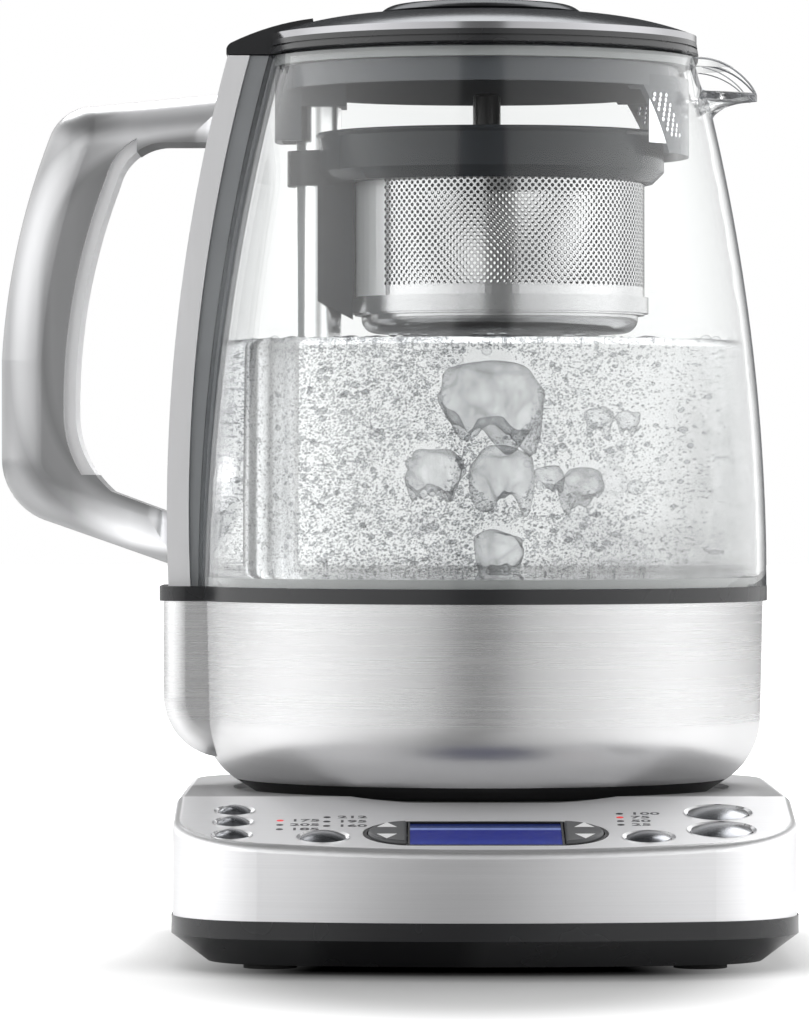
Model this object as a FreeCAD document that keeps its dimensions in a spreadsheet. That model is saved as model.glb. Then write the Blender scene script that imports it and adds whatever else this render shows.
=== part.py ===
"""Automatic tea maker: a glass jug with a motor-driven tea basket on a powered swivel base.

Millimetres, +Z up. The base's control panel faces -Y, the spout points to +X and the handle to -X.
The origin is the centre of the whole object's footprint, on the worktop. The jug's own axis stands at
(axis_x, axis_y): every piece is drawn about that axis and then moved there by its Placement.
"""
import FreeCAD, Part
import math
import os
import Sketcher
from FreeCAD import Placement, Rotation, Vector

doc = FreeCAD.newDocument("tea_maker")

# ------------------------------------------------------------------------------------------------
# Driving dimensions: name, value, what it is
# ------------------------------------------------------------------------------------------------
DIMENSIONS = [
    # base
    ("base_half_width", 81.6, "half the base's width"),
    ("base_back", 82.0, "jug axis to the base's back"),
    ("base_front", 118.0, "jug axis to the front of the control panel"),
    ("base_back_corner", 34.0, "plan radius of the back corners"),
    ("base_front_corner", 30.0, "plan radius of the front corners"),
    ("base_front_bow", 240.0, "plan radius of the bowed front"),
    ("deck_z", 43.0, "top of the base's flat deck"),
    ("panel_start", 58.0, "jug axis to where the control panel starts to slope"),
    ("panel_angle", 10.5, "slope of the control panel, degrees"),
    ("cover_wall", 1.6, "wall of the steel base cover"),
    ("cover_edge", 2.4, "rounding of the base cover's top edge"),
    ("seat_radius", 68.0, "radius of the round recess that the jug stands in"),
    ("seat_depth", 1.3, "depth of that recess"),
    ("tray_top", 13.5, "joint line between the steel cover and the plastic tray"),
    ("tray_lip", 0.4, "how far the tray stands proud of the cover"),
    ("tray_chamfer_top", 8.8, "where the tray's chamfer starts"),
    ("tray_chamfer", 9.5, "how far the tray's chamfer runs in"),
    ("tray_bottom", 1.6, "underside of the tray"),
    ("tray_wall", 2.4, "wall and floor of the tray"),
    ("foot_radius", 7.0, "rubber foot"),
    ("foot_x", 56.0, "feet from the jug axis, sideways"),
    ("foot_front", 88.0, "front feet from the jug axis"),
    ("foot_rear", 58.0, "back feet from the jug axis"),
    ("boss_x", 54.0, "screw bosses from the jug axis, sideways"),
    ("boss_front", 40.0, "front screw bosses from the jug axis"),
    ("boss_rear", 36.0, "back screw bosses from the jug axis"),
    ("boss_radius", 4.2, "screw boss"),
    ("screw_radius", 1.5, "screw shank"),
    ("screw_head", 2.9, "screw head radius"),
    ("gland_radius", 4.2, "cord inlet bush"),
    ("gland_bore", 3.4, "bore of the cord inlet bush"),
    ("gland_reach", 4.0, "how far the bush stands out of the tray"),
    # connector
    ("hub_radius", 16.0, "round connector on the base"),
    ("hub_top", 50.5, "top of that connector"),
    ("hub_flange", 21.0, "its flange under the deck"),
    ("groove_inner", 7.5, "inner radius of the connector's contact groove"),
    ("groove_outer", 11.5, "outer radius of the contact groove"),
    ("pin_radius", 2.5, "centre pin of the jug's connector"),
    # jug
    ("jug_foot_z", 42.0, "underside of the jug"),
    ("jug_foot_radius", 62.2, "radius of the jug's underside"),
    ("bowl_lip_radius", 67.9, "radius at the lower edge of the steel bowl"),
    ("bowl_curve", 20.0, "radius of the bowl's rounded lower edge"),
    ("bowl_curve_z", 62.0, "where the bowl's side becomes straight"),
    ("bowl_side_radius", 76.6, "bowl radius there"),
    ("bowl_top_radius", 77.3, "bowl radius at its top"),
    ("bowl_wall", 1.0, "wall of the bowl"),
    ("band_z", 94.2, "underside of the band between bowl and glass"),
    ("band_height", 4.0, "height of that band"),
    ("band_radius", 78.5, "radius of the band"),
    ("band_inner", 72.0, "opening in the band"),
    ("bump_reach", 86.6, "jug axis to the face of the drive housing under the handle"),
    ("bump_half_width", 20.0, "half the width of the drive housing"),
    ("bump_shoulder_z", 68.0, "where the housing starts to curve in"),
    ("bump_edge", 6.0, "rounding of the housing's upright edges"),
    ("glass_foot_radius", 78.4, "glass, outside, at its foot"),
    ("glass_curve", 564.0, "radius of the glass's side, seen in section"),
    ("glass_rim_z", 242.4, "top of the glass rim"),
    ("glass_wall", 2.6, "wall of the glass"),
    ("spout_reach", 75.9, "jug axis to the tip of the spout"),
    ("spout_tip_z", 233.4, "top of the spout's tip"),
    ("plate_thickness", 1.5, "heated floor of the jug"),
    ("seal_height", 2.4, "silicone seal between floor and glass"),
    # lift
    ("post_x", 44.7, "jug axis to the lift post, towards the handle"),
    ("post_radius", 6.3, "lift post"),
    ("post_wall", 0.7, "wall of the lift post"),
    ("post_top", 236.5, "top of the lift post"),
    ("screw_thread", 2.5, "lift screw, outside"),
    ("motor_radius", 14.0, "lift motor"),
    ("motor_top", 90.0, "top of the lift motor"),
    ("motor_height", 30.0, "height of the lift motor"),
    # handle and column
    ("column_thickness", 6.0, "metal column that carries the handle"),
    ("column_half_width", 15.0, "half the width of the column"),
    ("column_foot", 85.4, "jug axis to the column's face at its foot"),
    ("column_head", 69.2, "jug axis to the column's face at its head"),
    ("column_top", 242.8, "top of the column"),
    ("handle_reach", 131.5, "jug axis to the back of the handle"),
    ("handle_high", 226.0, "centre of the handle's upper arm"),
    ("handle_low", 111.0, "centre of the handle's lower arm"),
    ("handle_width", 30.0, "width of the grip, seen from behind"),
    # lid
    ("lid_radius", 59.2, "radius of the lid"),
    ("lid_rim_bottom", 243.1, "underside of the lid's black rim"),
    ("trim_bottom", 246.9, "underside of the bright trim ring"),
    ("trim_height", 1.8, "height of the trim ring"),
    ("dome_top", 254.4, "top of the lid's dome"),
    ("dome_flat", 28.0, "radius of the dome's flat middle"),
    ("dome_wall", 1.8, "wall of the dome"),
    ("knob_radius", 27.6, "lid knob"),
    ("knob_top", 258.0, "top of the lid knob"),
    ("skirt_radius", 54.4, "skirt inside the glass"),
    ("skirt_bottom", 233.3, "underside of the skirt"),
    ("filter_bottom", 215.5, "lower edge of the spout filter"),
    ("filter_hole", 0.6, "radius of the holes in the spout filter"),
    # tea basket
    ("basket_x", 5.1, "basket axis from the jug axis, towards the spout"),
    ("sleeve_radius", 39.8, "perforated sleeve of the basket"),
    ("sleeve_wall", 0.5, "wall of that sleeve"),
    ("ring_radius", 45.2, "carrier ring"),
    ("ring_stretch", 4.8, "how far the carrier ring is drawn out towards the post"),
    ("ring_lip", 0.8, "rolled lip at the top of the carrier ring"),
    ("ring_chamfer", 3.0, "chamfer round the ring's foot"),
    ("ring_bottom", 208.3, "underside of the carrier ring"),
    ("ring_top", 221.9, "top of the carrier ring"),
    ("ledge_z", 212.0, "ledge in the ring that carries the basket's lid"),
    ("hoop_radius", 40.9, "steel hoop round the foot of the sleeve"),
    ("hoop_bottom", 172.6, "underside of the hoop"),
    ("hoop_height", 4.4, "height of the hoop"),
    ("dish_radius", 38.0, "pressed floor of the basket"),
    ("dish_bottom", 167.3, "underside of the basket"),
    ("dish_hole", 0.9, "radius of the holes in the basket's floor"),
    ("collar_wall", 2.2, "collar that runs on the lift post"),
    ("collar_bottom", 207.6, "underside of the collar"),
    ("collar_top", 217.2, "top of the collar"),
    ("leg_bottom", 176.0, "lower end of the guide leg"),
    ("lid_post_x", 1.6, "finger post on the basket's lid, from the jug axis"),
    ("lid_post_radius", 3.8, "radius of that post"),
    ("lid_post_top", 233.1, "top of that post"),
    ("lid_post_foot", 7.6, "radius of its foot"),
    ("lid_post_taper", 2.0, "height of the foot's taper"),
    # controls
    ("key_gap", 0.3, "clearance round a key"),
    ("key_travel", 1.2, "travel of a key"),
    ("key_dome", 1.5, "how far a key's dome stands up"),
    ("large_key", 7.9, "radius of a large key"),
    ("medium_key", 5.8, "radius of a medium key"),
    ("small_key", 4.3, "radius of a small key"),
    ("dish_width", 1.2, "width of the bright surround of a key"),
    ("small_column", 65.7, "small keys from the panel's middle"),
    ("auto_row", 16.3, "auto start key, down the slope"),
    ("warm_row", 29.0, "keep warm key, down the slope"),
    ("basket_row", 42.9, "basket key, down the slope"),
    ("medium_column", 42.0, "medium keys from the panel's middle"),
    ("medium_row", 45.2, "medium keys, down the slope"),
    ("large_column", 61.2, "large keys from the panel's middle"),
    ("water_row", 18.6, "hot water key, down the slope"),
    ("cancel_row", 37.6, "cancel key, down the slope"),
    ("outer_lamps", 53.5, "outer column of lamps from the panel's middle"),
    ("outer_lamps_row", 27.2, "its first lamp, down the slope"),
    ("inner_lamps", 41.3, "inner column of lamps from the panel's middle"),
    ("inner_lamps_row", 23.5, "its first lamp, down the slope"),
    ("right_lamps", 35.3, "right column of lamps from the panel's middle"),
    ("right_lamps_row", 19.6, "its first lamp, down the slope"),
    ("lamp_pitch", 4.8, "pitch of the lamps on the left"),
    ("right_lamp_pitch", 4.1, "pitch of the lamps on the right"),
    ("window_half_width", 19.6, "half the display window's width"),
    ("window_half_height", 12.2, "half the display window's height"),
    ("window_slope", 41.3, "display's centre, down the slope of the panel"),
    ("rocker_reach", 30.8, "panel centre to the outer end of a rocker"),
    ("frame_rim", 0.9, "rim of the frame round the display and its rockers"),
    ("rocker_pin", 1.0, "radius of a rocker's pivot pin"),
    ("board_depth", 10.0, "circuit board below the face of the panel"),
    ("lamp_radius", 0.9, "indicator lamp"),
    # base, inside
    ("running_fit", 0.1, "clearance of a running or seated fit"),
    ("body_clear", 0.3, "clearance between pieces that move past each other"),
    ("small_gap", 0.2, "clearance between fixed neighbours"),
    ("frame_depth", 5.5, "depth of the frame round the display"),
    ("hub_flange_height", 3.0, "thickness of the connector's flange"),
    ("groove_floor", 44.0, "floor of the connector's contact groove"),
    ("socket_wall", 0.6, "wall of the pin socket"),
    ("ring_wall", 0.4, "contact rings"),
    ("hub_play", 0.6, "play of the jug's socket over the connector"),
    ("blade_inner", 8.4, "inner radius of the jug's contact blade"),
    ("blade_outer", 10.6, "outer radius of that blade"),
    ("blade_play", 0.9, "play under the blade"),
    ("cup_top", 58.0, "top of the jug's connector"),
    ("boss_split", 24.0, "where the cover's bosses meet the tray's posts"),
    ("foot_seat", 0.8, "how deep the feet sit in the tray"),
    ("head_height", 2.0, "height of a screw head"),
    ("screw_bite", 8.0, "how far a base screw reaches into the cover's boss"),
    ("gland_length", 12.0, "length of the cord inlet bush"),
    ("gland_z", 8.3, "height of the cord inlet"),
    ("board_thickness", 1.6, "circuit board"),
    ("board_start", 6.0, "upper edge of the board, down the slope"),
    ("board_end", 50.0, "lower edge of the board, down the slope"),
    ("board_margin", 2.0, "board to the inside of the cover"),
    ("board_front", 95.0, "front board posts from the jug axis"),
    ("board_rear", 74.0, "rear board posts from the jug axis"),
    ("surround_depth", 3.2, "depth of a key's surround"),
    ("flange_height", 1.2, "flange that holds a key in"),
    ("key_flange", 0.8, "how far that flange reaches out"),
    ("dish_fall", 0.7, "fall of the surround towards the key"),
    ("rocker_depth", 3.2, "how deep a rocker reaches"),
    ("rocker_rise", 0.8, "how far a rocker stands up"),
    ("window_depth", 0.5, "display window below the face"),
    ("window_thickness", 1.2, "display window"),
    ("switch_width", 5.0, "width of a push switch"),
    ("switch_height", 2.2, "height of its body"),
    ("stem_radius", 1.25, "radius of its stem"),
    # jug, details
    ("underside_floor", 1.6, "floor of the jug's underside"),
    ("underside_wall", 1.4, "wall of the jug's underside"),
    ("bowl_lip_z", 45.6, "lower edge of the steel bowl"),
    ("bump_curve", 16.5, "radius of the drive housing's lower edge"),
    ("spout_tip_radius", 6.0, "plan radius of the spout's tip"),
    ("spout_angle", 36.0, "slant of the spout's sides, degrees"),
    ("spout_root", 46.0, "where the spout's sides start, from the jug axis"),
    ("spout_low_z", 222.0, "lower end of the spout"),
    ("spout_neck_z", 228.4, "height where the spout starts to reach out"),
    ("spout_neck_reach", 65.4, "its reach there"),
    ("spout_throat_z", 230.3, "height where the spout's underside levels off"),
    ("spout_throat_reach", 69.6, "its reach there"),
    ("spout_lip", 2.2, "depth of the spout's tip"),
    ("spout_floor", 1.4, "thickness of the spout's floor"),
    ("spout_crest_x", 58.0, "where the spout's upper edge starts to fall"),
    ("spout_crest", 19.0, "radius of that edge"),
    ("plate_radius", 73.2, "radius of the heated floor"),
    ("seal_width", 2.0, "width of the seal round the post"),
    ("element_ring", 26.0, "ring radius of the heating element"),
    ("element_radius", 3.2, "tube radius of the heating element"),
    ("probe_radius", 5.0, "temperature probe"),
    ("probe_height", 5.0, "height of the probe"),
    ("probe_y", 42.0, "probe from the jug axis, towards the back"),
    ("motor_bore", 9.0, "bore of the motor's hanger"),
    ("screw_seat", 6.0, "how far the lift screw reaches into the motor"),
    ("post_cap", 1.5, "closed top of the post"),
    ("column_curve", 476.0, "radius of the column, seen from the side"),
    ("gasket_inset", 1.0, "gasket behind the column's edge"),
    ("arm_bite", 8.0, "how far a handle screw reaches into the handle"),
    # handle, seen from the side: reach from the jug axis and height
    ("arm_root", 233.4, "top of the upper arm at the column"),
    ("arm_top", 229.6, "top of the upper arm at its bend"),
    ("arm_bend", 105.6, "reach of that bend"),
    ("shoulder_curve", 13.0, "radius of the shoulder"),
    ("shoulder_run", 13.0, "how far the shoulder runs out past the bend"),
    ("shoulder_z", 220.5, "end of the shoulder, height"),
    ("back_curve", 200.0, "radius of the handle's back"),
    ("grip_z", 160.0, "where the back becomes straight"),
    ("heel_top", 133.0, "where the heel starts"),
    ("heel_curve", 18.0, "radius of the heel"),
    ("heel_x", 118.5, "end of the heel, reach"),
    ("heel_z", 115.7, "end of the heel, height"),
    ("arm_foot", 103.0, "underside of the lower arm at the column"),
    ("handle_edge", 11.5, "rounding of the handle's outer edges"),
    ("eye_top", 219.2, "underside of the upper arm"),
    ("eye_bend", 86.0, "reach where that underside bends"),
    ("eye_curve", 14.0, "radius of the eye's upper corner"),
    ("eye_shoulder_x", 99.5, "end of that corner, reach"),
    ("eye_shoulder_z", 208.5, "end of that corner, height"),
    ("eye_back_curve", 167.0, "radius of the grip's inner side"),
    ("eye_reach", 110.8, "furthest reach of the eye"),
    ("eye_heel_top", 146.0, "where the eye's lower corner starts"),
    ("eye_heel_curve", 28.0, "radius of that corner"),
    ("eye_heel_x", 101.0, "end of that corner, reach"),
    ("eye_heel_z", 124.0, "end of that corner, height"),
    ("eye_foot", 103.0, "eye's lower side, continued to the lift post"),
    ("strip_inset", 3.0, "inner cover from the handle's sides"),
    ("strip_thickness", 3.2, "thickness of the inner cover"),
    ("strip_end", 94.0, "reach where the inner cover ends"),
    ("strip_foot", 128.5, "lower end of the inner cover"),
    # basket, details
    ("leg_half_width", 7.0, "half the width of the guide leg"),
    ("leg_point", 5.0, "how far its pointed end reaches down"),
    ("leg_root", 3.0, "how far it reaches into the ring"),
    ("magnet_cover", 0.4, "plastic round the magnet"),
    ("magnet_width", 1.6, "thickness of the magnet"),
    ("magnet_half", 4.5, "half the magnet's width"),
    ("dish_curve", 4.0, "rounding of the pressed floor"),
    ("dish_pitch", 9.0, "pitch of the rings of drain holes"),
    ("lid_plate", 1.0, "sheet of the basket's lid"),
    ("nut_magnet", 3.0, "height of a magnet on the nut"),
    # lid, details
    ("lug_start", 46.0, "start of the rear lug, reach"),
    ("lug_top", 252.9, "its height there"),
    ("lug_crown", 70.0, "radius of its top"),
    ("lug_bend", 68.3, "reach of its rear edge"),
    ("lug_bend_z", 246.3, "height of that edge"),
    ("lug_curve", 2.6, "rounding of the rear edge"),
    ("lug_reach", 69.6, "furthest reach of the lug"),
    ("lug_edge", 1.5, "upright part of its rear face"),
    ("lug_half_width", 15.0, "half the lug's width"),
    ("rim_flare", 0.5, "flare of the black rim"),
    ("groove_z", 244.9, "groove round the rim"),
    ("groove_width", 0.5, "width of that groove"),
    ("skirt_wall", 2.0, "wall of the skirt"),
    ("trim_width", 2.0, "width of the trim ring"),
    ("dome_curve", 88.0, "radius of the dome, seen in section"),
    ("knob_edge", 1.0, "upright edge of the knob"),
    ("knob_curve", 7.0, "rounding of the knob"),
    ("knob_shoulder", 21.0, "radius where the knob's crown starts"),
    ("knob_crown", 0.7, "rise of the crown"),
    ("knob_crown_curve", 60.0, "radius of the crown's slope, seen in section"),
    ("knob_flat", 12.0, "radius of the knob's flat top"),
    ("rear_leg_bottom", 219.8, "lower end of the skirt's rear leg"),
    ("rear_leg_half", 10.0, "half the leg's width"),
    ("rear_leg_lap", 2.0, "how far its sides reach past the back of the post"),
    ("socket_end", 37.0, "post socket, nearest the jug axis"),
    ("socket_half", 8.0, "half the socket's width"),
    ("socket_bottom", 229.2, "underside of the socket"),
    ("socket_top", 240.0, "top of the socket"),
    ("seal_z", 239.6, "underside of the lid's seal"),
    ("seal_lip", 2.6, "height of the seal"),
    ("filter_curve", 45.0, "plan radius of the spout filter"),
    ("filter_reach", 57.2, "jug axis to the face of the filter"),
    ("filter_half_top", 33.0, "half the filter's width at its top"),
    ("filter_half_foot", 24.0, "half the filter's width at its foot"),
    ("filter_overlap", 3.0, "how far the filter laps the skirt"),
    ("filter_first", 231.0, "height of the uppermost holes"),
    ("filter_row", 1.3, "pitch of the rows of holes"),
    ("filter_wall", 1.0, "wall of the filter below the skirt"),
]

sheet = doc.addObject("Spreadsheet::Sheet", "Sizes")
for row, (alias, number, meaning) in enumerate(DIMENSIONS, 1):
    sheet.set(f"A{row}", meaning)
    sheet.set(f"B{row}", str(number))
    sheet.setAlias(f"B{row}", alias)
doc.recompute()


class Size:
    """A length from the sheet, as its number and as the expression that binds a property to it."""

    def __init__(self, number, text):
        self.number, self.text = float(number), text

    def _join(self, other, sign, number):
        return Size(number, f"({self.text} {sign} {as_size(other).text})")

    def __add__(self, other):
        return self._join(other, "+", self.number + as_size(other).number)

    def __sub__(self, other):
        return self._join(other, "-", self.number - as_size(other).number)

    def __mul__(self, other):
        return self._join(other, "*", self.number * as_size(other).number)

    def __truediv__(self, other):
        return self._join(other, "/", self.number / as_size(other).number)

    def __radd__(self, other):
        return as_size(other) + self

    def __rsub__(self, other):
        return as_size(other) - self

    def __rmul__(self, other):
        return as_size(other) * self

    def __neg__(self):
        return 0 - self


def as_size(value):
    """A Size as it is, and a plain number as a Size."""
    return value if isinstance(value, Size) else Size(value, repr(float(value)))


def root(value):
    return Size(math.sqrt(value.number), f"sqrt({value.text})")


def sine(angle):
    return Size(math.sin(math.radians(angle.number)), f"sin({angle.text} * 1 deg)")


def cosine(angle):
    return Size(math.cos(math.radians(angle.number)), f"cos({angle.text} * 1 deg)")


class Sheet:
    """Reads a cell of the sheet by its alias: s.deck_z."""

    def __getattr__(self, alias):
        return Size(sheet.get(alias), f"Sizes.{alias}")


s = Sheet()

# The jug's axis, from the middle of the footprint: the handle and the cord inlet reach out on one side
axis_x = (s.handle_reach - s.base_half_width - s.tray_lip) / 2
axis_y = (s.base_front - s.base_back - s.gland_reach) / 2

FIT = s.running_fit
CLEAR = s.body_clear
GAP = s.small_gap

# How far a cutting tool reaches past the material
PAST = 1.0

# Drain holes in each ring of the basket's floor, the spout filter's holes, and the lamps in each column
DRAIN_HOLES = (8, 16, 24)
FILTER_ROWS = range(9)
FILTER_COLUMNS = (-1, 0, 1)
FILTER_TURN = 38.0
FILTER_STEP = 3.4
FILTER_LEAN = 1.35
LEFT_LAMPS = range(3)
RIGHT_LAMPS = range(4)

# ------------------------------------------------------------------------------------------------
# Helpers: bound primitives, sketches and booleans
# ------------------------------------------------------------------------------------------------
nodes = {}
places = {}
UPRIGHT = Placement(Vector(0, 0, 0), Rotation(Vector(1, 0, 0), 90))  # sketch x, y become X, Z
OTHER_END = {1: 2, 2: 1}  # a sketch edge's start is its point 1, and its end is its point 2


def add(kind, name):
    return doc.addObject(kind, name)


def bind(obj, prop, value):
    """Sets a property from a Size, and ties it to the sheet."""
    value = as_size(value)
    obj.setExpression(prop, value.text)
    return obj


def move(obj, x=0, y=0, z=0):
    """Puts an object at x, y, z, tied to the sheet."""
    places[obj.Name] = [as_size(value) for value in (x, y, z)]
    for axis, value in zip("xyz", places[obj.Name]):
        bind(obj, f"Placement.Base.{axis}", value)
    return obj


def cylinder(name, radius, bottom, height, x=0, y=0):
    obj = add("Part::Cylinder", name)
    bind(obj, "Radius", radius)
    bind(obj, "Height", height)
    return move(obj, x, y, bottom)


def tube(name, outer, inner, bottom, height, x=0, y=0):
    """A round tube with a clear bore."""
    body = cylinder(f"{name}_body", outer, bottom, height, x, y)
    bore = cylinder(f"{name}_bore", inner, as_size(bottom) - PAST, as_size(height) + 2 * PAST, x, y)
    return cut(name, body, bore)


def box(name, x0, x1, y0, y1, z0, z1):
    """A block between two corners."""
    obj = add("Part::Box", name)
    bind(obj, "Length", as_size(x1) - x0)
    bind(obj, "Width", as_size(y1) - y0)
    bind(obj, "Height", as_size(z1) - z0)
    return move(obj, x0, y0, z0)


def cut(name, base, *tools):
    obj = add("Part::Cut", name)
    obj.Base = base
    obj.Tool = tools[0] if len(tools) == 1 else fuse(f"{name}_tools", *tools)
    return obj


def fuse(name, *shapes):
    obj = add("Part::MultiFuse", name)
    obj.Shapes = list(shapes)
    return obj


def common(name, *shapes):
    obj = add("Part::MultiCommon", name)
    obj.Shapes = list(shapes)
    return obj


def group(name, shapes):
    """Several separate solids of one node."""
    obj = add("Part::Compound", name)
    obj.Links = list(shapes)
    return obj


def arc_through(start, end, radius):
    """The arc from start to end that curves left for a positive radius, and right for a negative one."""
    chord = end - start
    half = chord.Length / 2
    rise = math.sqrt(radius * radius - half * half)
    left = Vector(-chord.y, chord.x, 0).normalize()
    centre = (start + end) / 2 + left * (rise if radius > 0 else -rise)
    first, last = (start, end) if radius > 0 else (end, start)
    a = math.atan2(first.y - centre.y, first.x - centre.x)
    b = math.atan2(last.y - centre.y, last.x - centre.x)
    circle = Part.Circle(centre, Vector(0, 0, 1), abs(radius))
    return Part.ArcOfCircle(circle, a, b if b > a else b + 2 * math.pi)


def outline(name, corners, placement=UPRIGHT):
    """A closed sketch through corners (x, y). A corner (x, y, radius) starts an arc instead of a line."""
    sketch = add("Sketcher::SketchObject", name)
    sketch.Placement = placement
    corners = [tuple(as_size(value) for value in corner) for corner in corners]
    points = [Vector(corner[0].number, corner[1].number, 0) for corner in corners]
    count = len(corners)
    first_end = {}
    for i, corner in enumerate(corners):
        start, end = points[i], points[(i + 1) % count]
        if len(corner) == 3:
            sketch.addGeometry(arc_through(start, end, corner[2].number), False)
            first_end[i] = 1 if corner[2].number > 0 else 2
        else:
            sketch.addGeometry(Part.LineSegment(start, end), False)
            first_end[i] = 1
    for i in range(count):
        following = (i + 1) % count
        last_end = OTHER_END[first_end[i]]
        sketch.addConstraint(
            Sketcher.Constraint("Coincident", i, last_end, following, first_end[following])
        )
    for i, corner in enumerate(corners):
        for kind, value, axis in (("DistanceX", corner[0], -2), ("DistanceY", corner[1], -1)):
            if value.number == 0:
                sketch.addConstraint(Sketcher.Constraint("PointOnObject", i, first_end[i], axis))
                continue
            number = sketch.addConstraint(
                Sketcher.Constraint(kind, -1, 1, i, first_end[i], value.number)
            )
            sketch.setExpression(f"Constraints[{number}]", value.text)
        if len(corner) == 3:
            radius = corner[2] if corner[2].number > 0 else -corner[2]
            number = sketch.addConstraint(Sketcher.Constraint("Radius", i, radius.number))
            sketch.setExpression(f"Constraints[{number}]", radius.text)
    return sketch


def turned(name, corners, x=0):
    """A solid of revolution about the upright line through x. Corners are (radius, z)."""
    obj = add("Part::Revolution", name)
    obj.Source = outline(f"{name}_outline", corners)
    obj.Axis = Vector(0, 0, 1)
    obj.Solid = True
    return move(obj, x)


def drawn(name, sketch, length, both_sides=False):
    """A sketch drawn out along its normal, or half the length to each side."""
    obj = add("Part::Extrusion", name)
    obj.Base = sketch
    obj.DirMode = "Normal"
    obj.Solid = True
    obj.Symmetric = both_sides
    return bind(obj, "LengthFwd", length)


def rounded(name, base, radius, wanted):
    """Rounds the edges of base that wanted(edge) picks."""
    doc.recompute()
    radius = as_size(radius).number
    obj = add("Part::Fillet", name)
    obj.Base = base
    obj.Edges = [
        (i, radius, radius) for i, edge in enumerate(base.Shape.Edges, 1) if wanted(edge)
    ]
    return obj


def middle(edge):
    return edge.valueAt((edge.FirstParameter + edge.LastParameter) / 2)


def lies_along(edge, axis):
    """True if the edge runs along that axis at its middle."""
    parallel = 0.999
    return abs(edge.tangentAt((edge.FirstParameter + edge.LastParameter) / 2).dot(axis)) > parallel


def node(name, obj):
    """Makes obj a piece of the tea maker, at the jug's place in the frame."""
    obj.Label = name
    x, y, z = places.get(obj.Name, (0, 0, 0))
    move(obj, axis_x + x, axis_y + y, z)
    nodes[name] = obj
    return obj


# ------------------------------------------------------------------------------------------------
# Base: steel cover on a plastic tray
# ------------------------------------------------------------------------------------------------
FLAT = Placement()
SIDE = Placement(Vector(0, 0, 0), Rotation(Vector(1, 1, 1), 120))  # sketch x, y become Y, Z
slope_sine = sine(s.panel_angle)
slope_cosine = cosine(s.panel_angle)
cover_ceiling = s.deck_z - s.seat_depth - s.cover_wall
hub_bottom = cover_ceiling - s.hub_flange_height


def base_plan(name, inset, z):
    """The base's plan at height z, drawn in by inset: a bowed front and four rounded corners."""
    side = s.base_half_width - inset
    back = s.base_back - inset
    rear = s.base_back_corner - inset
    corner = s.base_front_corner - inset
    bow = s.base_front_bow - inset
    bow_y = s.base_front_bow - s.base_front
    across = side - corner
    along = root((bow - corner) * (bow - corner) - across * across)
    corner_y = bow_y - along
    meet_x = across * bow / (bow - corner)
    meet_y = bow_y - along * bow / (bow - corner)
    sketch = outline(name, [
        (side, corner_y), (side, back - rear, rear), (side - rear, back), (rear - side, back, rear),
        (-side, back - rear), (-side, corner_y, corner), (-meet_x, meet_y, bow),
        (meet_x, meet_y, corner),
    ], FLAT)
    return move(sketch, 0, 0, z)


def base_profile(name, drop, bottom):
    """The base seen from the side, drop below its outer surface: a flat deck and a sloping panel."""
    front = s.base_front + PAST
    back = s.base_back + PAST
    top = s.deck_z - drop
    fall = (front - s.panel_start) * slope_sine / slope_cosine
    sketch = outline(f"{name}_side", [
        (-front, bottom), (back, bottom), (back, top), (-s.panel_start, top), (-front, top - fall),
    ], SIDE)
    return drawn(f"{name}_run", sketch, 2 * s.base_half_width, True)


def base_block(name, inset, bottom):
    """The base's solid, inset all round."""
    plan = drawn(f"{name}_plan", base_plan(f"{name}_shape", inset, bottom), s.deck_z)
    return common(name, plan, base_profile(name, inset, bottom))


def on_panel(obj, x, slope):
    """Puts an object on the control panel, slope down from its top: its own Z is the panel's normal."""
    seat = group(f"{obj.Name}_on_panel", [obj])
    seat.Placement = Placement(Vector(), Rotation(Vector(1, 0, 0), s.panel_angle.number))
    seat.setExpression("Placement.Rotation.Angle", f"{s.panel_angle.text} * 1 deg")
    return move(seat, x, -s.panel_start - slope * slope_cosine, s.deck_z - slope * slope_sine)


KEYS = [
    ("auto_start_key", s.small_key, -s.small_column, s.auto_row),
    ("keep_warm_key", s.small_key, -s.small_column, s.warm_row),
    ("basket_key", s.small_key, -s.small_column, s.basket_row),
    ("tea_type_key", s.medium_key, -s.medium_column, s.medium_row),
    ("tea_strength_key", s.medium_key, s.medium_column, s.medium_row),
    ("hot_water_key", s.large_key, s.large_column, s.water_row),
    ("cancel_key", s.large_key, s.large_column, s.cancel_row),
]
LAMPS = [(-s.outer_lamps, s.outer_lamps_row + s.lamp_pitch * i) for i in LEFT_LAMPS]
LAMPS += [(-s.inner_lamps, s.inner_lamps_row + s.lamp_pitch * i) for i in LEFT_LAMPS]
LAMPS += [(s.right_lamps, s.right_lamps_row + s.right_lamp_pitch * i) for i in RIGHT_LAMPS]
ROCKERS = [("temperature_rocker", -1), ("time_rocker", 1)]


def capsule(name, half_width, half_height, reach, bottom, height):
    """A block with two straight edges and two bowed ends, as seen from above."""
    bulge = reach - half_width
    bow = (bulge * bulge + half_height * half_height) / (2 * bulge)
    sketch = outline(f"{name}_outline", [
        (half_width, -half_height, bow), (half_width, half_height),
        (-half_width, half_height, bow), (-half_width, -half_height),
    ], FLAT)
    move(sketch, 0, 0, bottom)
    return drawn(name, sketch, height)


def panel_frame_block(name, ease):
    """The block that the display and the rockers sit in, with ease all round."""
    rim = s.frame_rim + ease
    return capsule(name, s.window_half_width, s.window_half_height + rim, s.rocker_reach + rim,
                   -s.frame_depth, s.frame_depth + (PAST if ease else 0))


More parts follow.
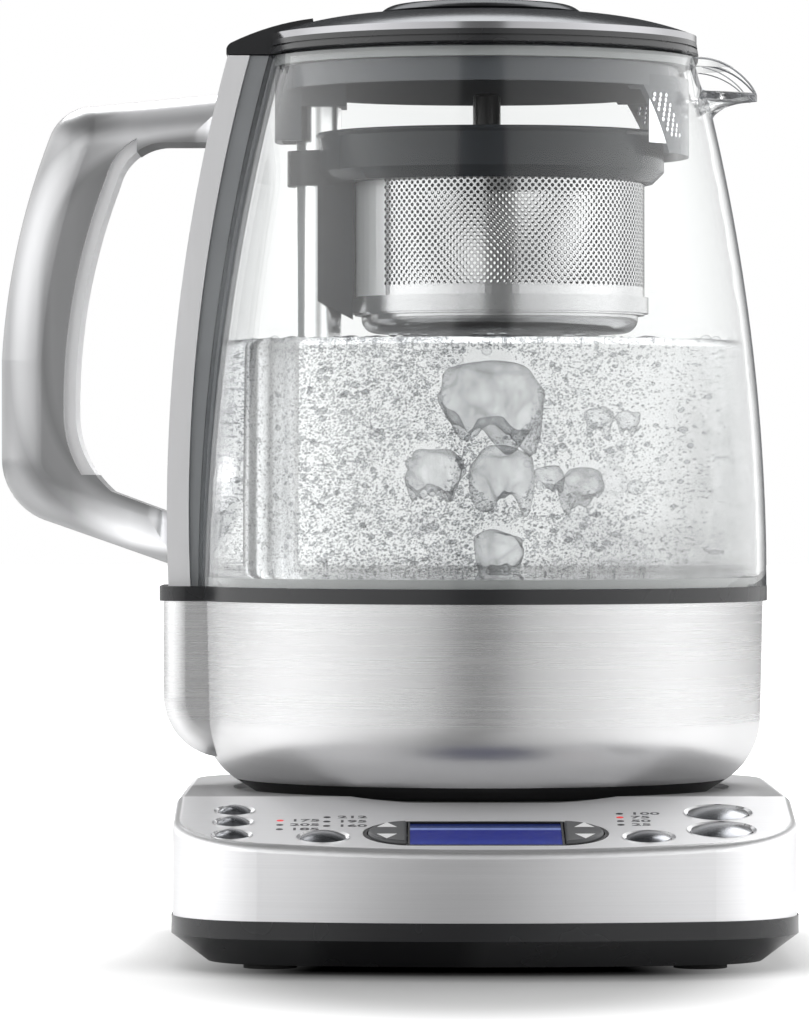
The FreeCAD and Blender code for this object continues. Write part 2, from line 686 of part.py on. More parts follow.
def make_base_cover():
    outer = base_block("cover_outer", 0, s.tray_top)
    sheet_top = s.tray_top + PAST

    def top_edge(edge):
        from_crease = abs(middle(edge).y + s.panel_start.number)
        crease = lies_along(edge, Vector(1, 0, 0)) and from_crease < FIT.number
        above = middle(edge).z > sheet_top.number
        return above and not lies_along(edge, Vector(0, 0, 1)) and not crease

    skin = rounded("cover_skin", outer, s.cover_edge, top_edge)
    inner = base_block("cover_inner", s.cover_wall, s.tray_top - PAST)
    pan = cylinder("seat_pan", s.seat_radius + s.cover_wall, cover_ceiling, s.deck_z)
    hollow = cut("cover_hollow", inner, pan)
    seat = cylinder("seat", s.seat_radius, s.deck_z - s.seat_depth, s.deck_z)
    hub_hole = cylinder("hub_hole", s.hub_radius + GAP, s.tray_top, s.deck_z)
    frame_hole = on_panel(panel_frame_block("frame_hole", GAP), 0, s.window_slope)
    holes = [hollow, seat, hub_hole, frame_hole]
    for name, radius, x, slope in KEYS:
        hole = cylinder(f"{name}_hole", radius + s.dish_width, -s.board_depth, 2 * s.board_depth)
        holes.append(on_panel(hole, x, slope))
    for number, (x, slope) in enumerate(LAMPS, 1):
        hole = cylinder(f"lamp_hole_{number}", s.lamp_radius + FIT, -s.frame_depth, s.board_depth)
        holes.append(on_panel(hole, x, slope))
    shell = cut("cover_shell", skin, *holes)
    bosses = [tube(f"cover_boss_{i}", s.boss_radius, s.screw_radius, s.boss_split,
                   cover_ceiling - s.boss_split, x, y) for i, (x, y) in enumerate(boss_places())]
    return fuse("cover_whole", shell, *bosses)


def boss_places():
    front = -s.boss_front
    return [(-s.boss_x, front), (s.boss_x, front), (-s.boss_x, s.boss_rear), (s.boss_x, s.boss_rear)]


def foot_places():
    front = -s.foot_front
    return [(-s.foot_x, front), (s.foot_x, front), (-s.foot_x, s.foot_rear), (s.foot_x, s.foot_rear)]


def make_base_tray():
    band = drawn("tray_band", base_plan("tray_band_plan", -s.tray_lip, s.tray_chamfer_top),
                 s.tray_top - s.tray_chamfer_top)
    taper = add("Part::Loft", "tray_taper")
    taper.Sections = [
        base_plan("tray_foot_plan", s.tray_chamfer - s.tray_lip, s.tray_bottom),
        base_plan("tray_waist_plan", -s.tray_lip, s.tray_chamfer_top),
    ]
    taper.Solid = True
    taper.Ruled = True
    outer = fuse("tray_outer", band, taper)
    hollow = add("Part::Loft", "tray_hollow")
    hollow.Sections = [
        base_plan("hollow_foot_plan", s.tray_chamfer + s.tray_wall, s.tray_bottom + s.tray_wall),
        base_plan("hollow_top_plan", s.tray_wall, s.tray_top + PAST),
    ]
    hollow.Solid = True
    hollow.Ruled = True
    shell = cut("tray_shell", outer, hollow)
    floor = s.tray_bottom + s.tray_wall
    posts = [cylinder(f"tray_post_{i}", s.boss_radius, s.tray_bottom, s.boss_split - s.tray_bottom, x, y)
             for i, (x, y) in enumerate(boss_places())]
    props = [cylinder(f"board_post_{i}", s.boss_radius, s.tray_bottom, s.deck_z, side * s.foot_x, -y)
             for i, (side, y) in enumerate([(-1, s.board_front), (1, s.board_front),
                                            (-1, s.board_rear), (1, s.board_rear)])]
    above = box("above_board", -s.base_half_width, s.base_half_width, -s.base_front, s.base_front,
                -s.board_depth - s.board_thickness, s.base_front)
    props = cut("board_props", fuse("board_posts", *props), on_panel(above, 0, 0))
    hub_post = tube("hub_post", s.groove_inner, s.pin_radius, s.tray_bottom, hub_bottom - s.tray_bottom)
    solid = fuse("tray_solid", shell, props, hub_post, *posts)
    holes = []
    for i, (x, y) in enumerate(boss_places()):
        holes.append(cylinder(f"tray_screw_way_{i}", s.screw_radius, 0, s.boss_split + PAST, x, y))
        holes.append(cylinder(f"tray_head_way_{i}", s.screw_head, 0, floor, x, y))
    for i, (x, y) in enumerate(foot_places()):
        holes.append(cylinder(f"foot_seat_{i}", s.foot_radius, 0, s.tray_bottom + s.foot_seat, x, y))
    holes.append(cord_way("tray_cord_way", s.gland_radius))
    return cut("tray_whole", solid, *holes)


def cord_way(name, radius):
    """A round bar through the back of the tray, where the cord comes in."""
    bar = add("Part::Cylinder", name)
    bind(bar, "Radius", radius)
    bind(bar, "Height", s.gland_length)
    bar.Placement = Placement(Vector(), Rotation(Vector(1, 0, 0), -90))
    start = s.base_back + s.tray_lip + s.gland_reach - s.gland_length
    return move(bar, 0, start, s.gland_z)


def make_base():
    node("base_cover", make_base_cover())
    node("base_tray", make_base_tray())
    feet = [cylinder(f"foot_{i}", s.foot_radius, 0, s.tray_bottom + s.foot_seat, x, y)
            for i, (x, y) in enumerate(foot_places())]
    node("rubber_feet", group("feet", feet))
    floor = s.tray_bottom + s.tray_wall
    reach = s.boss_split + s.screw_bite - floor
    screws = []
    for i, (x, y) in enumerate(boss_places()):
        head = cylinder(f"screw_head_{i}", s.screw_head, floor - s.head_height, s.head_height, x, y)
        shank = cylinder(f"screw_shank_{i}", s.screw_radius, floor, reach, x, y)
        screws.append(fuse(f"base_screw_{i}", head, shank))
    node("base_screws", group("base_screw_set", screws))
    bush = cut("bush", cord_way("bush_body", s.gland_radius), cord_way("bush_bore", s.gland_bore))
    node("cord_inlet", bush)
    make_connector()
    make_panel()


def make_connector():
    """The round power connector in the middle of the base."""
    hub = turned("hub", [
        (s.pin_radius + s.socket_wall + FIT, hub_bottom), (s.hub_flange, hub_bottom),
        (s.hub_flange, cover_ceiling), (s.hub_radius, cover_ceiling), (s.hub_radius, s.hub_top),
        (s.groove_outer, s.hub_top), (s.groove_outer, s.groove_floor),
        (s.groove_inner, s.groove_floor), (s.groove_inner, s.hub_top),
        (s.pin_radius + s.socket_wall + FIT, s.hub_top),
    ])
    node("connector_hub", hub)
    height = s.hub_top - s.groove_floor - s.socket_wall
    rings = [
        tube("pin_socket", s.pin_radius + s.socket_wall + FIT, s.pin_radius + FIT, hub_bottom,
             s.hub_top - hub_bottom - s.socket_wall),
        tube("outer_ring", s.groove_outer, s.groove_outer - s.ring_wall, s.groove_floor, height),
        tube("inner_ring", s.groove_inner + s.ring_wall, s.groove_inner, s.groove_floor, height),
    ]
    node("connector_rings", group("contact_rings", rings))
    cup = turned("cup", [
        (0, s.hub_top + s.hub_play), (s.blade_inner, s.hub_top + s.hub_play),
        (s.blade_inner, s.groove_floor + s.blade_play), (s.blade_outer, s.groove_floor + s.blade_play),
        (s.blade_outer, s.hub_top + s.hub_play), (s.hub_radius + s.hub_play, s.hub_top + s.hub_play),
        (s.hub_radius + s.hub_play, jug_deck + CLEAR), (s.hub_flange, jug_deck + CLEAR),
        (s.hub_flange, s.cup_top), (0, s.cup_top),
    ])
    pin_foot = s.groove_floor + s.blade_play
    pin = cylinder("cup_pin", s.pin_radius, pin_foot, s.cup_top - s.hub_play - s.groove_floor)
    node("jug_connector", fuse("jug_socket", cup, pin))


def make_key(name, radius, x, slope):
    """A domed key with a flange that holds it under its surround."""
    bottom = -s.surround_depth - s.flange_height - GAP
    flange = -s.surround_depth - GAP
    cap = turned(f"{name}_cap", [
        (0, bottom), (radius + s.key_flange, bottom), (radius + s.key_flange, flange),
        (radius, flange), (radius, 0, (radius * radius + s.key_dome * s.key_dome) / (2 * s.key_dome)),
        (0, s.key_dome),
    ])
    return node(name, on_panel(cap, x, slope))


def make_rocker(name, side):
    """A rocker beside the display, on a pin across the slope."""
    start = s.window_half_width + s.frame_rim
    half_height = s.window_half_height - s.frame_rim
    reach = s.rocker_reach - s.key_gap
    bulge = reach - start
    bow = (bulge * bulge + half_height * half_height) / (2 * bulge)
    corners = [(start, -half_height, bow), (start, half_height)]
    if side < 0:
        corners = [(-start, half_height, bow), (-start, -half_height)]
    sketch = move(outline(f"{name}_outline", corners, FLAT), 0, 0, -s.rocker_depth)
    slab = drawn(f"{name}_slab", sketch, s.rocker_depth + s.rocker_rise)
    slab = rounded(f"{name}_cap", slab, s.rocker_rise, lambda edge: middle(edge).z > 0)
    pin = rocker_pin(f"{name}_pin", side, s.rocker_pin)
    whole = fuse(f"{name}_whole", slab, pin)
    return node(name, on_panel(whole, 0, s.window_slope))


def rocker_pin(name, side, radius):
    """The pivot pin of a rocker, or the hole that it turns in."""
    pin = add("Part::Cylinder", name)
    bind(pin, "Radius", radius)
    start = s.window_half_width
    end = s.rocker_reach + s.frame_rim / 2
    bind(pin, "Height", end - start)
    pin.Placement = Placement(Vector(), Rotation(Vector(0, 1, 0), 90))
    return move(pin, start if side > 0 else -end, 0, -s.rocker_depth / 2)


def make_panel():
    for key in KEYS:
        make_key(*key)
    for name, side in ROCKERS:
        make_rocker(name, side)
    surrounds = []
    for name, radius, x, slope in KEYS:
        outer = radius + s.dish_width - FIT
        bore = radius + s.key_gap
        ring = turned(f"{name}_surround", [
            (bore, -s.surround_depth), (outer, -s.surround_depth), (outer, GAP), (bore, -s.dish_fall),
        ])
        surrounds.append(on_panel(ring, x, slope))
    node("key_surrounds", group("surround_set", surrounds))
    lamps = []
    for number, (x, slope) in enumerate(LAMPS, 1):
        lamp = cylinder(f"lamp_{number}", s.lamp_radius, -s.board_depth, s.board_depth)
        lamps.append(on_panel(lamp, x, slope))
    node("indicator_lamps", group("lamp_set", lamps))
    make_display()
    make_board()


def make_display():
    block = panel_frame_block("frame_block", 0)
    half_width = s.window_half_width
    half_height = s.window_half_height
    window_way = box("window_way", -half_width, half_width, -half_height, half_height,
                     -s.board_depth, s.board_depth)
    rocker_ways = []
    for name, side in ROCKERS:
        way = capsule(f"{name}_way", s.window_half_width, half_height, s.rocker_reach,
                      -s.board_depth, 2 * s.board_depth)
        near = s.window_half_width + s.frame_rim - s.key_gap
        half = box(f"{name}_half", near if side > 0 else -s.base_front,
                   s.base_front if side > 0 else -near, -s.base_front, s.base_front,
                   -s.base_front, s.base_front)
        rocker_ways.append(common(f"{name}_opening", way, half))
        rocker_ways.append(rocker_pin(f"{name}_bearing", side, s.rocker_pin + FIT))
    frame = cut("frame_whole", block, window_way, *rocker_ways)
    node("display_frame", on_panel(frame, 0, s.window_slope))
    window = box("window", -half_width, half_width, -half_height, half_height,
                 -s.window_depth - s.window_thickness, -s.window_depth)
    node("display_window", on_panel(window, 0, s.window_slope))
    module = box("module", -half_width, half_width, -half_height, half_height,
                 -s.board_depth, -s.window_depth - s.window_thickness)
    node("lcd_module", on_panel(module, 0, s.window_slope))


def make_board():
    plan = drawn("board_plan", base_plan("board_shape", s.cover_wall + s.board_margin, s.tray_bottom),
                 s.deck_z)
    slab = box("board_slab", -s.base_half_width, s.base_half_width, -s.board_end, -s.board_start,
               -s.board_depth - s.board_thickness, -s.board_depth)
    board = common("board", plan, on_panel(slab, 0, 0))
    node("control_board", board)
    switches = []
    for name, radius, x, slope in KEYS:
        switches.append(tact_switch(f"{name}_switch", x, slope))
    for name, side in ROCKERS:
        for end in (-1, 1):
            middle_x = side * (s.window_half_width + s.rocker_reach) / 2
            switches.append(tact_switch(f"{name}_switch_{end}", middle_x,
                                        s.window_slope + end * s.window_half_height / 2))
    node("tact_switches", group("switch_set", switches))


def tact_switch(name, x, slope):
    """A small push switch on the board, with its round stem."""
    half = s.switch_width / 2
    body = box(f"{name}_body", -half, half, -half, half, -s.board_depth, -s.board_depth + s.switch_height)
    room = s.surround_depth + s.flange_height + s.key_travel + 2 * GAP
    stem = cylinder(f"{name}_stem", s.stem_radius, -s.board_depth, s.board_depth - room)
    return on_panel(fuse(name, body, stem), x, slope)


# ------------------------------------------------------------------------------------------------
# Jug
# ------------------------------------------------------------------------------------------------
band_top = s.band_z + s.band_height
jug_deck = s.jug_foot_z + s.underside_floor


def glass_radius(z):
    """Radius of the glass's outside at height z."""
    drop = s.glass_curve - root(s.glass_curve * s.glass_curve - (z - band_top) * (z - band_top))
    return s.glass_foot_radius - drop


def drive_housing(name, inset, top):
    """The housing on the handle's side of the bowl, drawn in by inset."""
    reach = s.bump_reach - inset
    curve = s.bump_curve - inset
    low = s.bump_shoulder_z - curve
    sketch = outline(f"{name}_outline", [
        (-reach, top), (-reach, s.bump_shoulder_z, curve),
        (-reach + curve, low), (-s.post_x, low), (-s.post_x, top),
    ])
    block = drawn(f"{name}_block", sketch, 2 * (s.bump_half_width - inset), True)

    def side_edge(edge):
        at = middle(edge)
        outside = at.x < -s.post_x.number - PAST and at.z < as_size(top).number - PAST
        return outside and not lies_along(edge, Vector(0, 1, 0))

    return rounded(name, block, s.bump_edge - inset, side_edge)


def bowl_body(name, inset, top):
    """The bowl's round body, drawn in by inset."""
    return turned(name, [
        (0, s.bowl_lip_z), (s.bowl_lip_radius - inset, s.bowl_lip_z, s.bowl_curve - inset),
        (s.bowl_side_radius - inset, s.bowl_curve_z), (s.bowl_top_radius - inset, top), (0, top),
    ])


def make_bowl():
    outside = fuse("bowl_outside", bowl_body("bowl_outer", 0, s.band_z),
                   drive_housing("housing_outer", 0, s.band_z))
    inside = fuse("bowl_inside", bowl_body("bowl_inner", s.bowl_wall, s.band_z + PAST),
                  drive_housing("housing_inner", s.bowl_wall, s.band_z + PAST),
                  cylinder("bowl_mouth", s.bowl_lip_radius - s.bowl_wall, s.bowl_lip_z - PAST, 2 * PAST))
    node("jug_bowl", cut("bowl", outside, inside))
    grow = s.band_radius - s.bowl_top_radius
    band = fuse("band_outside", cylinder("band_disc", s.band_radius, s.band_z, s.band_height),
                common("band_lug", drive_housing("band_housing", -grow, band_top),
                       cylinder("band_slice", 2 * s.band_radius, s.band_z, s.band_height)))
    node("jug_band", cut("band", band, cylinder("band_mouth", s.band_inner, s.band_z - PAST,
                                                s.band_height + 2 * PAST)))
    node("jug_base_cover", turned("underside", [
        (s.hub_radius + s.hub_play, s.jug_foot_z), (s.jug_foot_radius, s.jug_foot_z),
        (s.bowl_lip_radius, s.bowl_lip_z), (s.bowl_lip_radius - s.underside_wall, s.bowl_lip_z),
        (s.jug_foot_radius - s.underside_wall, jug_deck), (s.hub_radius + s.hub_play, jug_deck),
    ]))


def spout_plan(name, z, reach, inset):
    """One level of the spout: a V with a round tip that reaches out to reach."""
    tip = s.spout_tip_radius - inset
    slant = sine(s.spout_angle)
    lean = cosine(s.spout_angle)
    centre = reach - s.spout_tip_radius
    x = centre + tip * slant
    y = tip * lean
    back = s.spout_root
    half = y + (x - back) * slant / lean
    sketch = outline(name, [(back, -half), (x, -y, tip), (x, y), (back, half)], FLAT)
    return move(sketch, 0, 0, z)


def spout_body(name, inset, rise):
    """The poured-out lip of the glass, narrow and low at its root and wide at the rim, drawn in by inset
    and lifted by rise."""
    body = add("Part::Loft", name)
    over = s.glass_rim_z + PAST
    body.Sections = [
        spout_plan(f"{name}_root", s.spout_low_z + rise, glass_radius(s.spout_low_z) - PAST, inset),
        spout_plan(f"{name}_neck", s.spout_neck_z + rise, s.spout_neck_reach, inset),
        spout_plan(f"{name}_throat", s.spout_throat_z + rise, s.spout_throat_reach, inset),
        spout_plan(f"{name}_lip", s.spout_tip_z - s.spout_lip + rise, s.spout_reach, inset),
        spout_plan(f"{name}_top", over + rise, s.spout_reach + s.spout_lip, inset),
    ]
    body.Solid = True
    body.Ruled = False
    return body


def glass_body(name, inset, bottom, top):
    low = glass_radius(bottom) - inset
    high = glass_radius(top) - inset
    return turned(name, [(0, bottom), (low, bottom, s.glass_curve - inset), (high, top), (0, top)])


def make_glass():
    over = s.glass_rim_z + PAST
    reach = drawn("spout_limit", spout_plan("spout_limit_plan", s.spout_low_z - PAST, s.spout_reach, 0),
                  over - s.spout_low_z)
    outside = fuse("glass_outside", glass_body("glass_outer", 0, band_top, s.glass_rim_z),
                   common("spout_outside", spout_body("spout_outer", 0, 0), reach))
    inside = fuse("glass_inside", glass_body("glass_inner", s.glass_wall, band_top, over),
                  spout_body("spout_inner", s.glass_wall, s.spout_floor))
    crest = drawn("spout_crest", outline("crest_outline", [
        (s.spout_crest_x, s.glass_rim_z, -s.spout_crest), (s.spout_reach, s.spout_tip_z),
        (s.spout_reach + s.band_radius, s.spout_tip_z), (s.spout_reach + s.band_radius, 2 * s.glass_rim_z),
        (s.spout_crest_x, 2 * s.glass_rim_z),
    ]), 2 * s.band_radius, True)
    above = cylinder("above_rim", 2 * s.band_radius, s.glass_rim_z, s.glass_rim_z)
    node("jug_glass", cut("glass", outside, inside, crest, above))


def make_floor():
    """The heated floor, its seal, and what hangs under it."""
    way_radius = s.post_radius + s.seal_width
    disc = cylinder("plate_disc", s.plate_radius, band_top, s.plate_thickness)
    way = cylinder("plate_way", way_radius, band_top - PAST, s.plate_thickness + 2 * PAST, -s.post_x)
    node("heater_plate", cut("heated_floor", disc, way))
    glass_foot = s.glass_foot_radius - s.glass_wall - FIT
    node("glass_seal", tube("floor_seal", glass_foot, s.plate_radius, band_top, s.seal_height))
    ring = add("Part::Torus", "element_ring")
    bind(ring, "Radius1", s.element_ring)
    bind(ring, "Radius2", s.element_radius)
    move(ring, 0, 0, band_top - s.element_radius)
    node("heating_element", ring)
    node("temperature_probe", cylinder("probe", s.probe_radius, band_top - s.probe_height,
                                       s.probe_height, 0, s.probe_y))


def make_post():
    """The sealed tube on its motor, and the screw that turns inside it."""
    hanger = turned("hanger", [
        (s.motor_bore, s.motor_top), (s.motor_radius, s.motor_top), (s.motor_radius, band_top),
        (s.motor_bore, band_top),
    ], -s.post_x)
    motor = cylinder("motor_can", s.motor_radius, s.motor_top - s.motor_height, s.motor_height, -s.post_x)
    way = cylinder("motor_shaft_way", s.screw_thread + s.seal_width, s.motor_top - s.screw_seat,
                   s.screw_seat + PAST, -s.post_x)
    node("lift_motor", cut("motor", fuse("motor_body", hanger, motor), way))
    bore = s.post_radius - s.post_wall
    node("lift_post", turned("post", [
        (bore, s.motor_top), (s.post_radius, s.motor_top),
        (s.post_radius, s.post_top - s.post_wall), (s.post_radius - s.post_wall, s.post_top),
        (0, s.post_top), (0, s.post_top - s.post_cap), (bore, s.post_top - s.post_cap),
    ], -s.post_x))
    node("post_seal", tube("post_gasket", s.post_radius + s.seal_width, s.post_radius + FIT, band_top,
                           s.seal_height, -s.post_x))
    screw_bottom = s.motor_top - s.screw_seat + CLEAR
    node("lift_screw", cylinder("screw", s.screw_thread, screw_bottom,
                                s.post_top - s.post_cap - PAST - screw_bottom, -s.post_x))


def column_region(name, inset, half_width):
    """Everything on the jug's side of the column's outer face, drawn in by inset."""
    sketch = outline(f"{name}_outline", [
        (-s.column_foot + inset, band_top), (-s.post_x, band_top), (-s.post_x, s.column_top),
        (-s.column_head + inset, s.column_top, s.column_curve - inset),
    ])
    return drawn(name, sketch, 2 * half_width, True)


def arm_screws(name, radius):
    """Two bars along X, from the jug's side of the column into the arms of the handle."""
    bars = []
    for i, z in enumerate([s.handle_high, s.handle_low]):
        bar = add("Part::Cylinder", f"{name}_{i}")
        bind(bar, "Radius", radius)
        bind(bar, "Height", s.column_foot + s.arm_bite - s.post_x)
        bar.Placement = Placement(Vector(), Rotation(Vector(0, 1, 0), -90))
        bars.append(move(bar, -s.post_x, 0, z))
    return bars


def make_column():
    """The metal column up the glass, and the gasket behind it."""
    face = column_region("column_face", 0, s.column_half_width)
    back = column_region("column_back", s.column_thickness, s.bump_half_width)
    ways = arm_screws("column_way", s.screw_radius + FIT)
    node("handle_column", cut("column", face, back, *ways))
    region = column_region("gasket_face", s.column_thickness + FIT, s.column_half_width - s.gasket_inset)
    glass = glass_body("glass_space", -FIT, band_top, s.glass_rim_z + PAST)
    foot = cylinder("gasket_foot", s.glass_foot_radius, band_top - PAST, PAST + FIT)
    node("column_gasket", cut("gasket", region, glass, foot))


def side_profile(name, points):
    """A sketch in the plane of the handle, from (reach from the jug's axis, height) or
    (reach, height, radius of the arc that starts there)."""
    return outline(name, [(-point[0], *point[1:]) for point in points])


def handle_eye(name, width, grow=0):
    """The opening inside the handle, grown by grow."""
    sketch = side_profile(f"{name}_outline", [
        (s.post_x, s.eye_top), (s.eye_bend, s.eye_top, s.eye_curve),
        (s.eye_shoulder_x, s.eye_shoulder_z, s.eye_back_curve),
        (s.eye_reach, s.eye_heel_top, s.eye_heel_curve), (s.eye_heel_x, s.eye_heel_z),
        (s.post_x, s.eye_foot),
    ])
    if grow:
        wide = add("Part::Offset2D", f"{name}_wide")
        wide.Source = sketch
        wide.Join = "Tangent"
        bind(wide, "Value", grow)
        sketch = wide
    block = add("Part::Extrusion", name)
    block.Base = sketch
    block.DirMode = "Custom"
    block.Dir = Vector(0, 1, 0)
    block.Solid = True
    block.Symmetric = True
    return bind(block, "LengthFwd", width)


def make_handle():
    """The metal loop, its inner cover, and the screws at its two arms."""
    profile = side_profile("loop_outline", [
        (s.column_head - s.column_thickness / 2, s.arm_root), (s.arm_bend, s.arm_top, s.shoulder_curve),
        (s.arm_bend + s.shoulder_run, s.shoulder_z, s.back_curve), (s.handle_reach, s.grip_z),
        (s.handle_reach, s.heel_top, s.heel_curve), (s.heel_x, s.heel_z),
        (s.column_foot - s.column_thickness / 2, s.arm_foot),
    ])
    solid = drawn("loop_solid", profile, s.handle_width, True)

    def rim(edge):
        outside = middle(edge).x < -s.post_x.number - PAST
        return outside and not lies_along(edge, Vector(0, 1, 0))

    solid = rounded("loop_rounded", solid, s.handle_edge, rim)
    wide = handle_eye("eye_wide", s.handle_width - 2 * s.strip_inset, s.strip_thickness)
    span = box("strip_span", -s.handle_reach, -s.strip_end, -s.handle_width, s.handle_width,
               s.strip_foot, s.handle_high)
    strip = cut("strip", common("strip_zone", wide, span), handle_eye("strip_eye", 2 * s.handle_width))
    node("handle_inner_cover", strip)
    room = handle_eye("pocket_wide", 2 * s.handle_width, s.strip_thickness)
    pocket = common("strip_pocket", room, span)
    inside = column_region("handle_stop", 0, s.handle_width)
    ways = arm_screws("handle_way", s.screw_radius + FIT)
    eye = handle_eye("loop_eye", 2 * s.handle_width)
    node("handle", cut("loop", solid, eye, pocket, inside, *ways))
    stop = column_region("screw_stop", s.column_thickness, s.handle_width)
    screws = [cut(f"{bar.Name}_cut", bar, stop) for bar in arm_screws("handle_screw", s.screw_radius)]
    node("handle_screws", group("handle_screw_set", screws))


# ------------------------------------------------------------------------------------------------
# Tea basket, which rides on the post
# ------------------------------------------------------------------------------------------------
def carrier_ring(name, bore, x):
    """The basket's plastic ring with its rolled lip, about the upright line through x."""
    return turned(name, [
        (bore, s.ring_bottom), (s.ring_radius - s.ring_chamfer, s.ring_bottom),
        (s.ring_radius, s.ring_bottom + s.ring_chamfer), (s.ring_radius, s.ring_top - 2 * s.ring_lip),
        (s.ring_radius + s.ring_lip, s.ring_top - s.ring_lip, s.ring_lip),
        (s.ring_radius, s.ring_top), (bore, s.ring_top),
    ], x)


def make_basket():
    ring_bore = s.sleeve_radius + FIT
    ring = carrier_ring("ring", ring_bore, s.basket_x)
    shoulder = carrier_ring("ring_shoulder", ring_bore, s.basket_x - s.ring_stretch)
    collar = cylinder("collar", s.post_radius + s.collar_wall + FIT, s.collar_bottom,
                      s.collar_top - s.collar_bottom, -s.post_x)
    near = s.basket_x - s.sleeve_radius
    web = box("collar_web", -s.post_x, near, -s.leg_half_width, s.leg_half_width,
              s.collar_bottom, s.collar_top)
    leg = drawn("guide_leg", outline("leg_outline", [
        (-s.post_x, s.collar_top), (-s.post_x, s.leg_bottom), (near, s.leg_bottom - s.leg_point),
        (near, s.ring_bottom), (near + s.leg_root, s.ring_bottom), (near + s.leg_root, s.collar_top),
    ]), 2 * s.leg_half_width, True)
    post_way = cylinder("post_way", s.post_radius + FIT, s.leg_bottom - s.leg_half_width,
                        s.ring_top, -s.post_x)
    sleeve_way = cylinder("sleeve_way", ring_bore, s.dish_bottom, s.ring_top, s.basket_x)
    hoop_way = cylinder("hoop_way", s.hoop_radius + FIT, s.dish_bottom,
                        s.hoop_bottom + s.hoop_height + GAP - s.dish_bottom, s.basket_x)
    magnet_way = box("magnet_way", *magnet_block(FIT))
    solid = fuse("carrier_solid", ring, shoulder, collar, web, leg)
    carrier = cut("carrier", solid, post_way, sleeve_way, hoop_way, magnet_way)
    node("basket_ring", carrier)
    node("basket_magnet", box("magnet", *magnet_block(0)))
    node("basket_sleeve", tube("sleeve", s.sleeve_radius, s.sleeve_radius - s.sleeve_wall, s.hoop_bottom,
                               s.ledge_z - s.hoop_bottom, s.basket_x))
    node("basket_hoop", tube("hoop", s.hoop_radius, s.sleeve_radius + FIT, s.hoop_bottom,
                             s.hoop_height, s.basket_x))
    make_basket_floor()
    make_basket_lid()
    make_carriage()


def magnet_block(ease):
    """The corners of the magnet between the post and the basket, with ease all round."""
    start = -s.post_x + s.post_radius + s.magnet_cover
    return (start - ease, start + s.magnet_width + ease, -s.magnet_half - ease, s.magnet_half + ease,
            s.collar_bottom + s.magnet_cover - ease, s.collar_top - s.magnet_cover + ease)


def make_basket_floor():
    wall = s.sleeve_wall
    rise = s.dish_bottom + s.dish_curve
    dish = turned("dish", [
        (0, s.dish_bottom), (s.dish_radius - s.dish_curve, s.dish_bottom, s.dish_curve),
        (s.dish_radius, rise), (s.dish_radius, s.hoop_bottom - wall),
        (s.sleeve_radius, s.hoop_bottom - wall), (s.sleeve_radius, s.hoop_bottom),
        (s.dish_radius - wall, s.hoop_bottom), (s.dish_radius - wall, rise, wall - s.dish_curve),
        (s.dish_radius - s.dish_curve, s.dish_bottom + wall), (0, s.dish_bottom + wall),
    ], s.basket_x)
    holes = []
    for row, count in enumerate(DRAIN_HOLES, 1):
        for i in range(count):
            turn = 2 * math.pi * i / count
            ring = s.dish_pitch * row
            holes.append(cylinder(f"drain_{row}_{i}", s.dish_hole, s.dish_bottom - PAST, s.hoop_height,
                                  s.basket_x + ring * math.cos(turn), ring * math.sin(turn)))
    node("basket_floor", cut("pressed_floor", dish, *holes))


def make_basket_lid():
    plate = turned("plate", [
        (0, s.ledge_z), (s.sleeve_radius, s.ledge_z), (s.sleeve_radius, s.ledge_z + s.lid_plate),
        (0, s.ledge_z + s.lid_plate),
    ], s.basket_x)
    node("basket_lid", plate)
    bottom = s.ledge_z + s.lid_plate
    taper = bottom + s.lid_plate
    node("basket_lid_post", turned("finger_post", [
        (0, bottom), (s.lid_post_foot, bottom), (s.lid_post_foot, taper),
        (s.lid_post_radius, taper + s.lid_post_taper), (s.lid_post_radius, s.lid_post_top - s.ring_lip),
        (s.lid_post_radius - s.ring_lip, s.lid_post_top), (0, s.lid_post_top),
    ], s.lid_post_x))


def make_carriage():
    """The nut on the lift screw and the magnets above and below it, inside the sealed post."""
    bore = s.screw_thread + FIT
    outer = s.post_radius - s.post_wall - CLEAR
    height = s.collar_top - s.collar_bottom
    node("carriage_nut", tube("nut", outer, bore, s.collar_bottom, height, -s.post_x))
    magnets = [
        tube("lower_magnet", outer, bore + CLEAR, s.collar_bottom - s.nut_magnet, s.nut_magnet, -s.post_x),
        tube("upper_magnet", outer, bore + CLEAR, s.collar_top, s.nut_magnet, -s.post_x),
    ]
    node("carriage_magnets", group("magnet_set", magnets))


# ------------------------------------------------------------------------------------------------
# Lid
# ------------------------------------------------------------------------------------------------
def rear_lug(name, ease, half_width):
    """The lug that reaches over the column, seen from the side, with ease all round."""
    sketch = side_profile(f"{name}_outline", [
        (s.lug_start, s.lug_top + ease, s.lug_crown), (s.lug_bend, s.lug_bend_z + ease, s.lug_curve),
        (s.lug_reach, s.lid_rim_bottom + s.lug_edge), (s.lug_reach, s.lid_rim_bottom),
        (s.lug_start, s.lid_rim_bottom),
    ])
    return drawn(name, sketch, 2 * (half_width + ease), True)


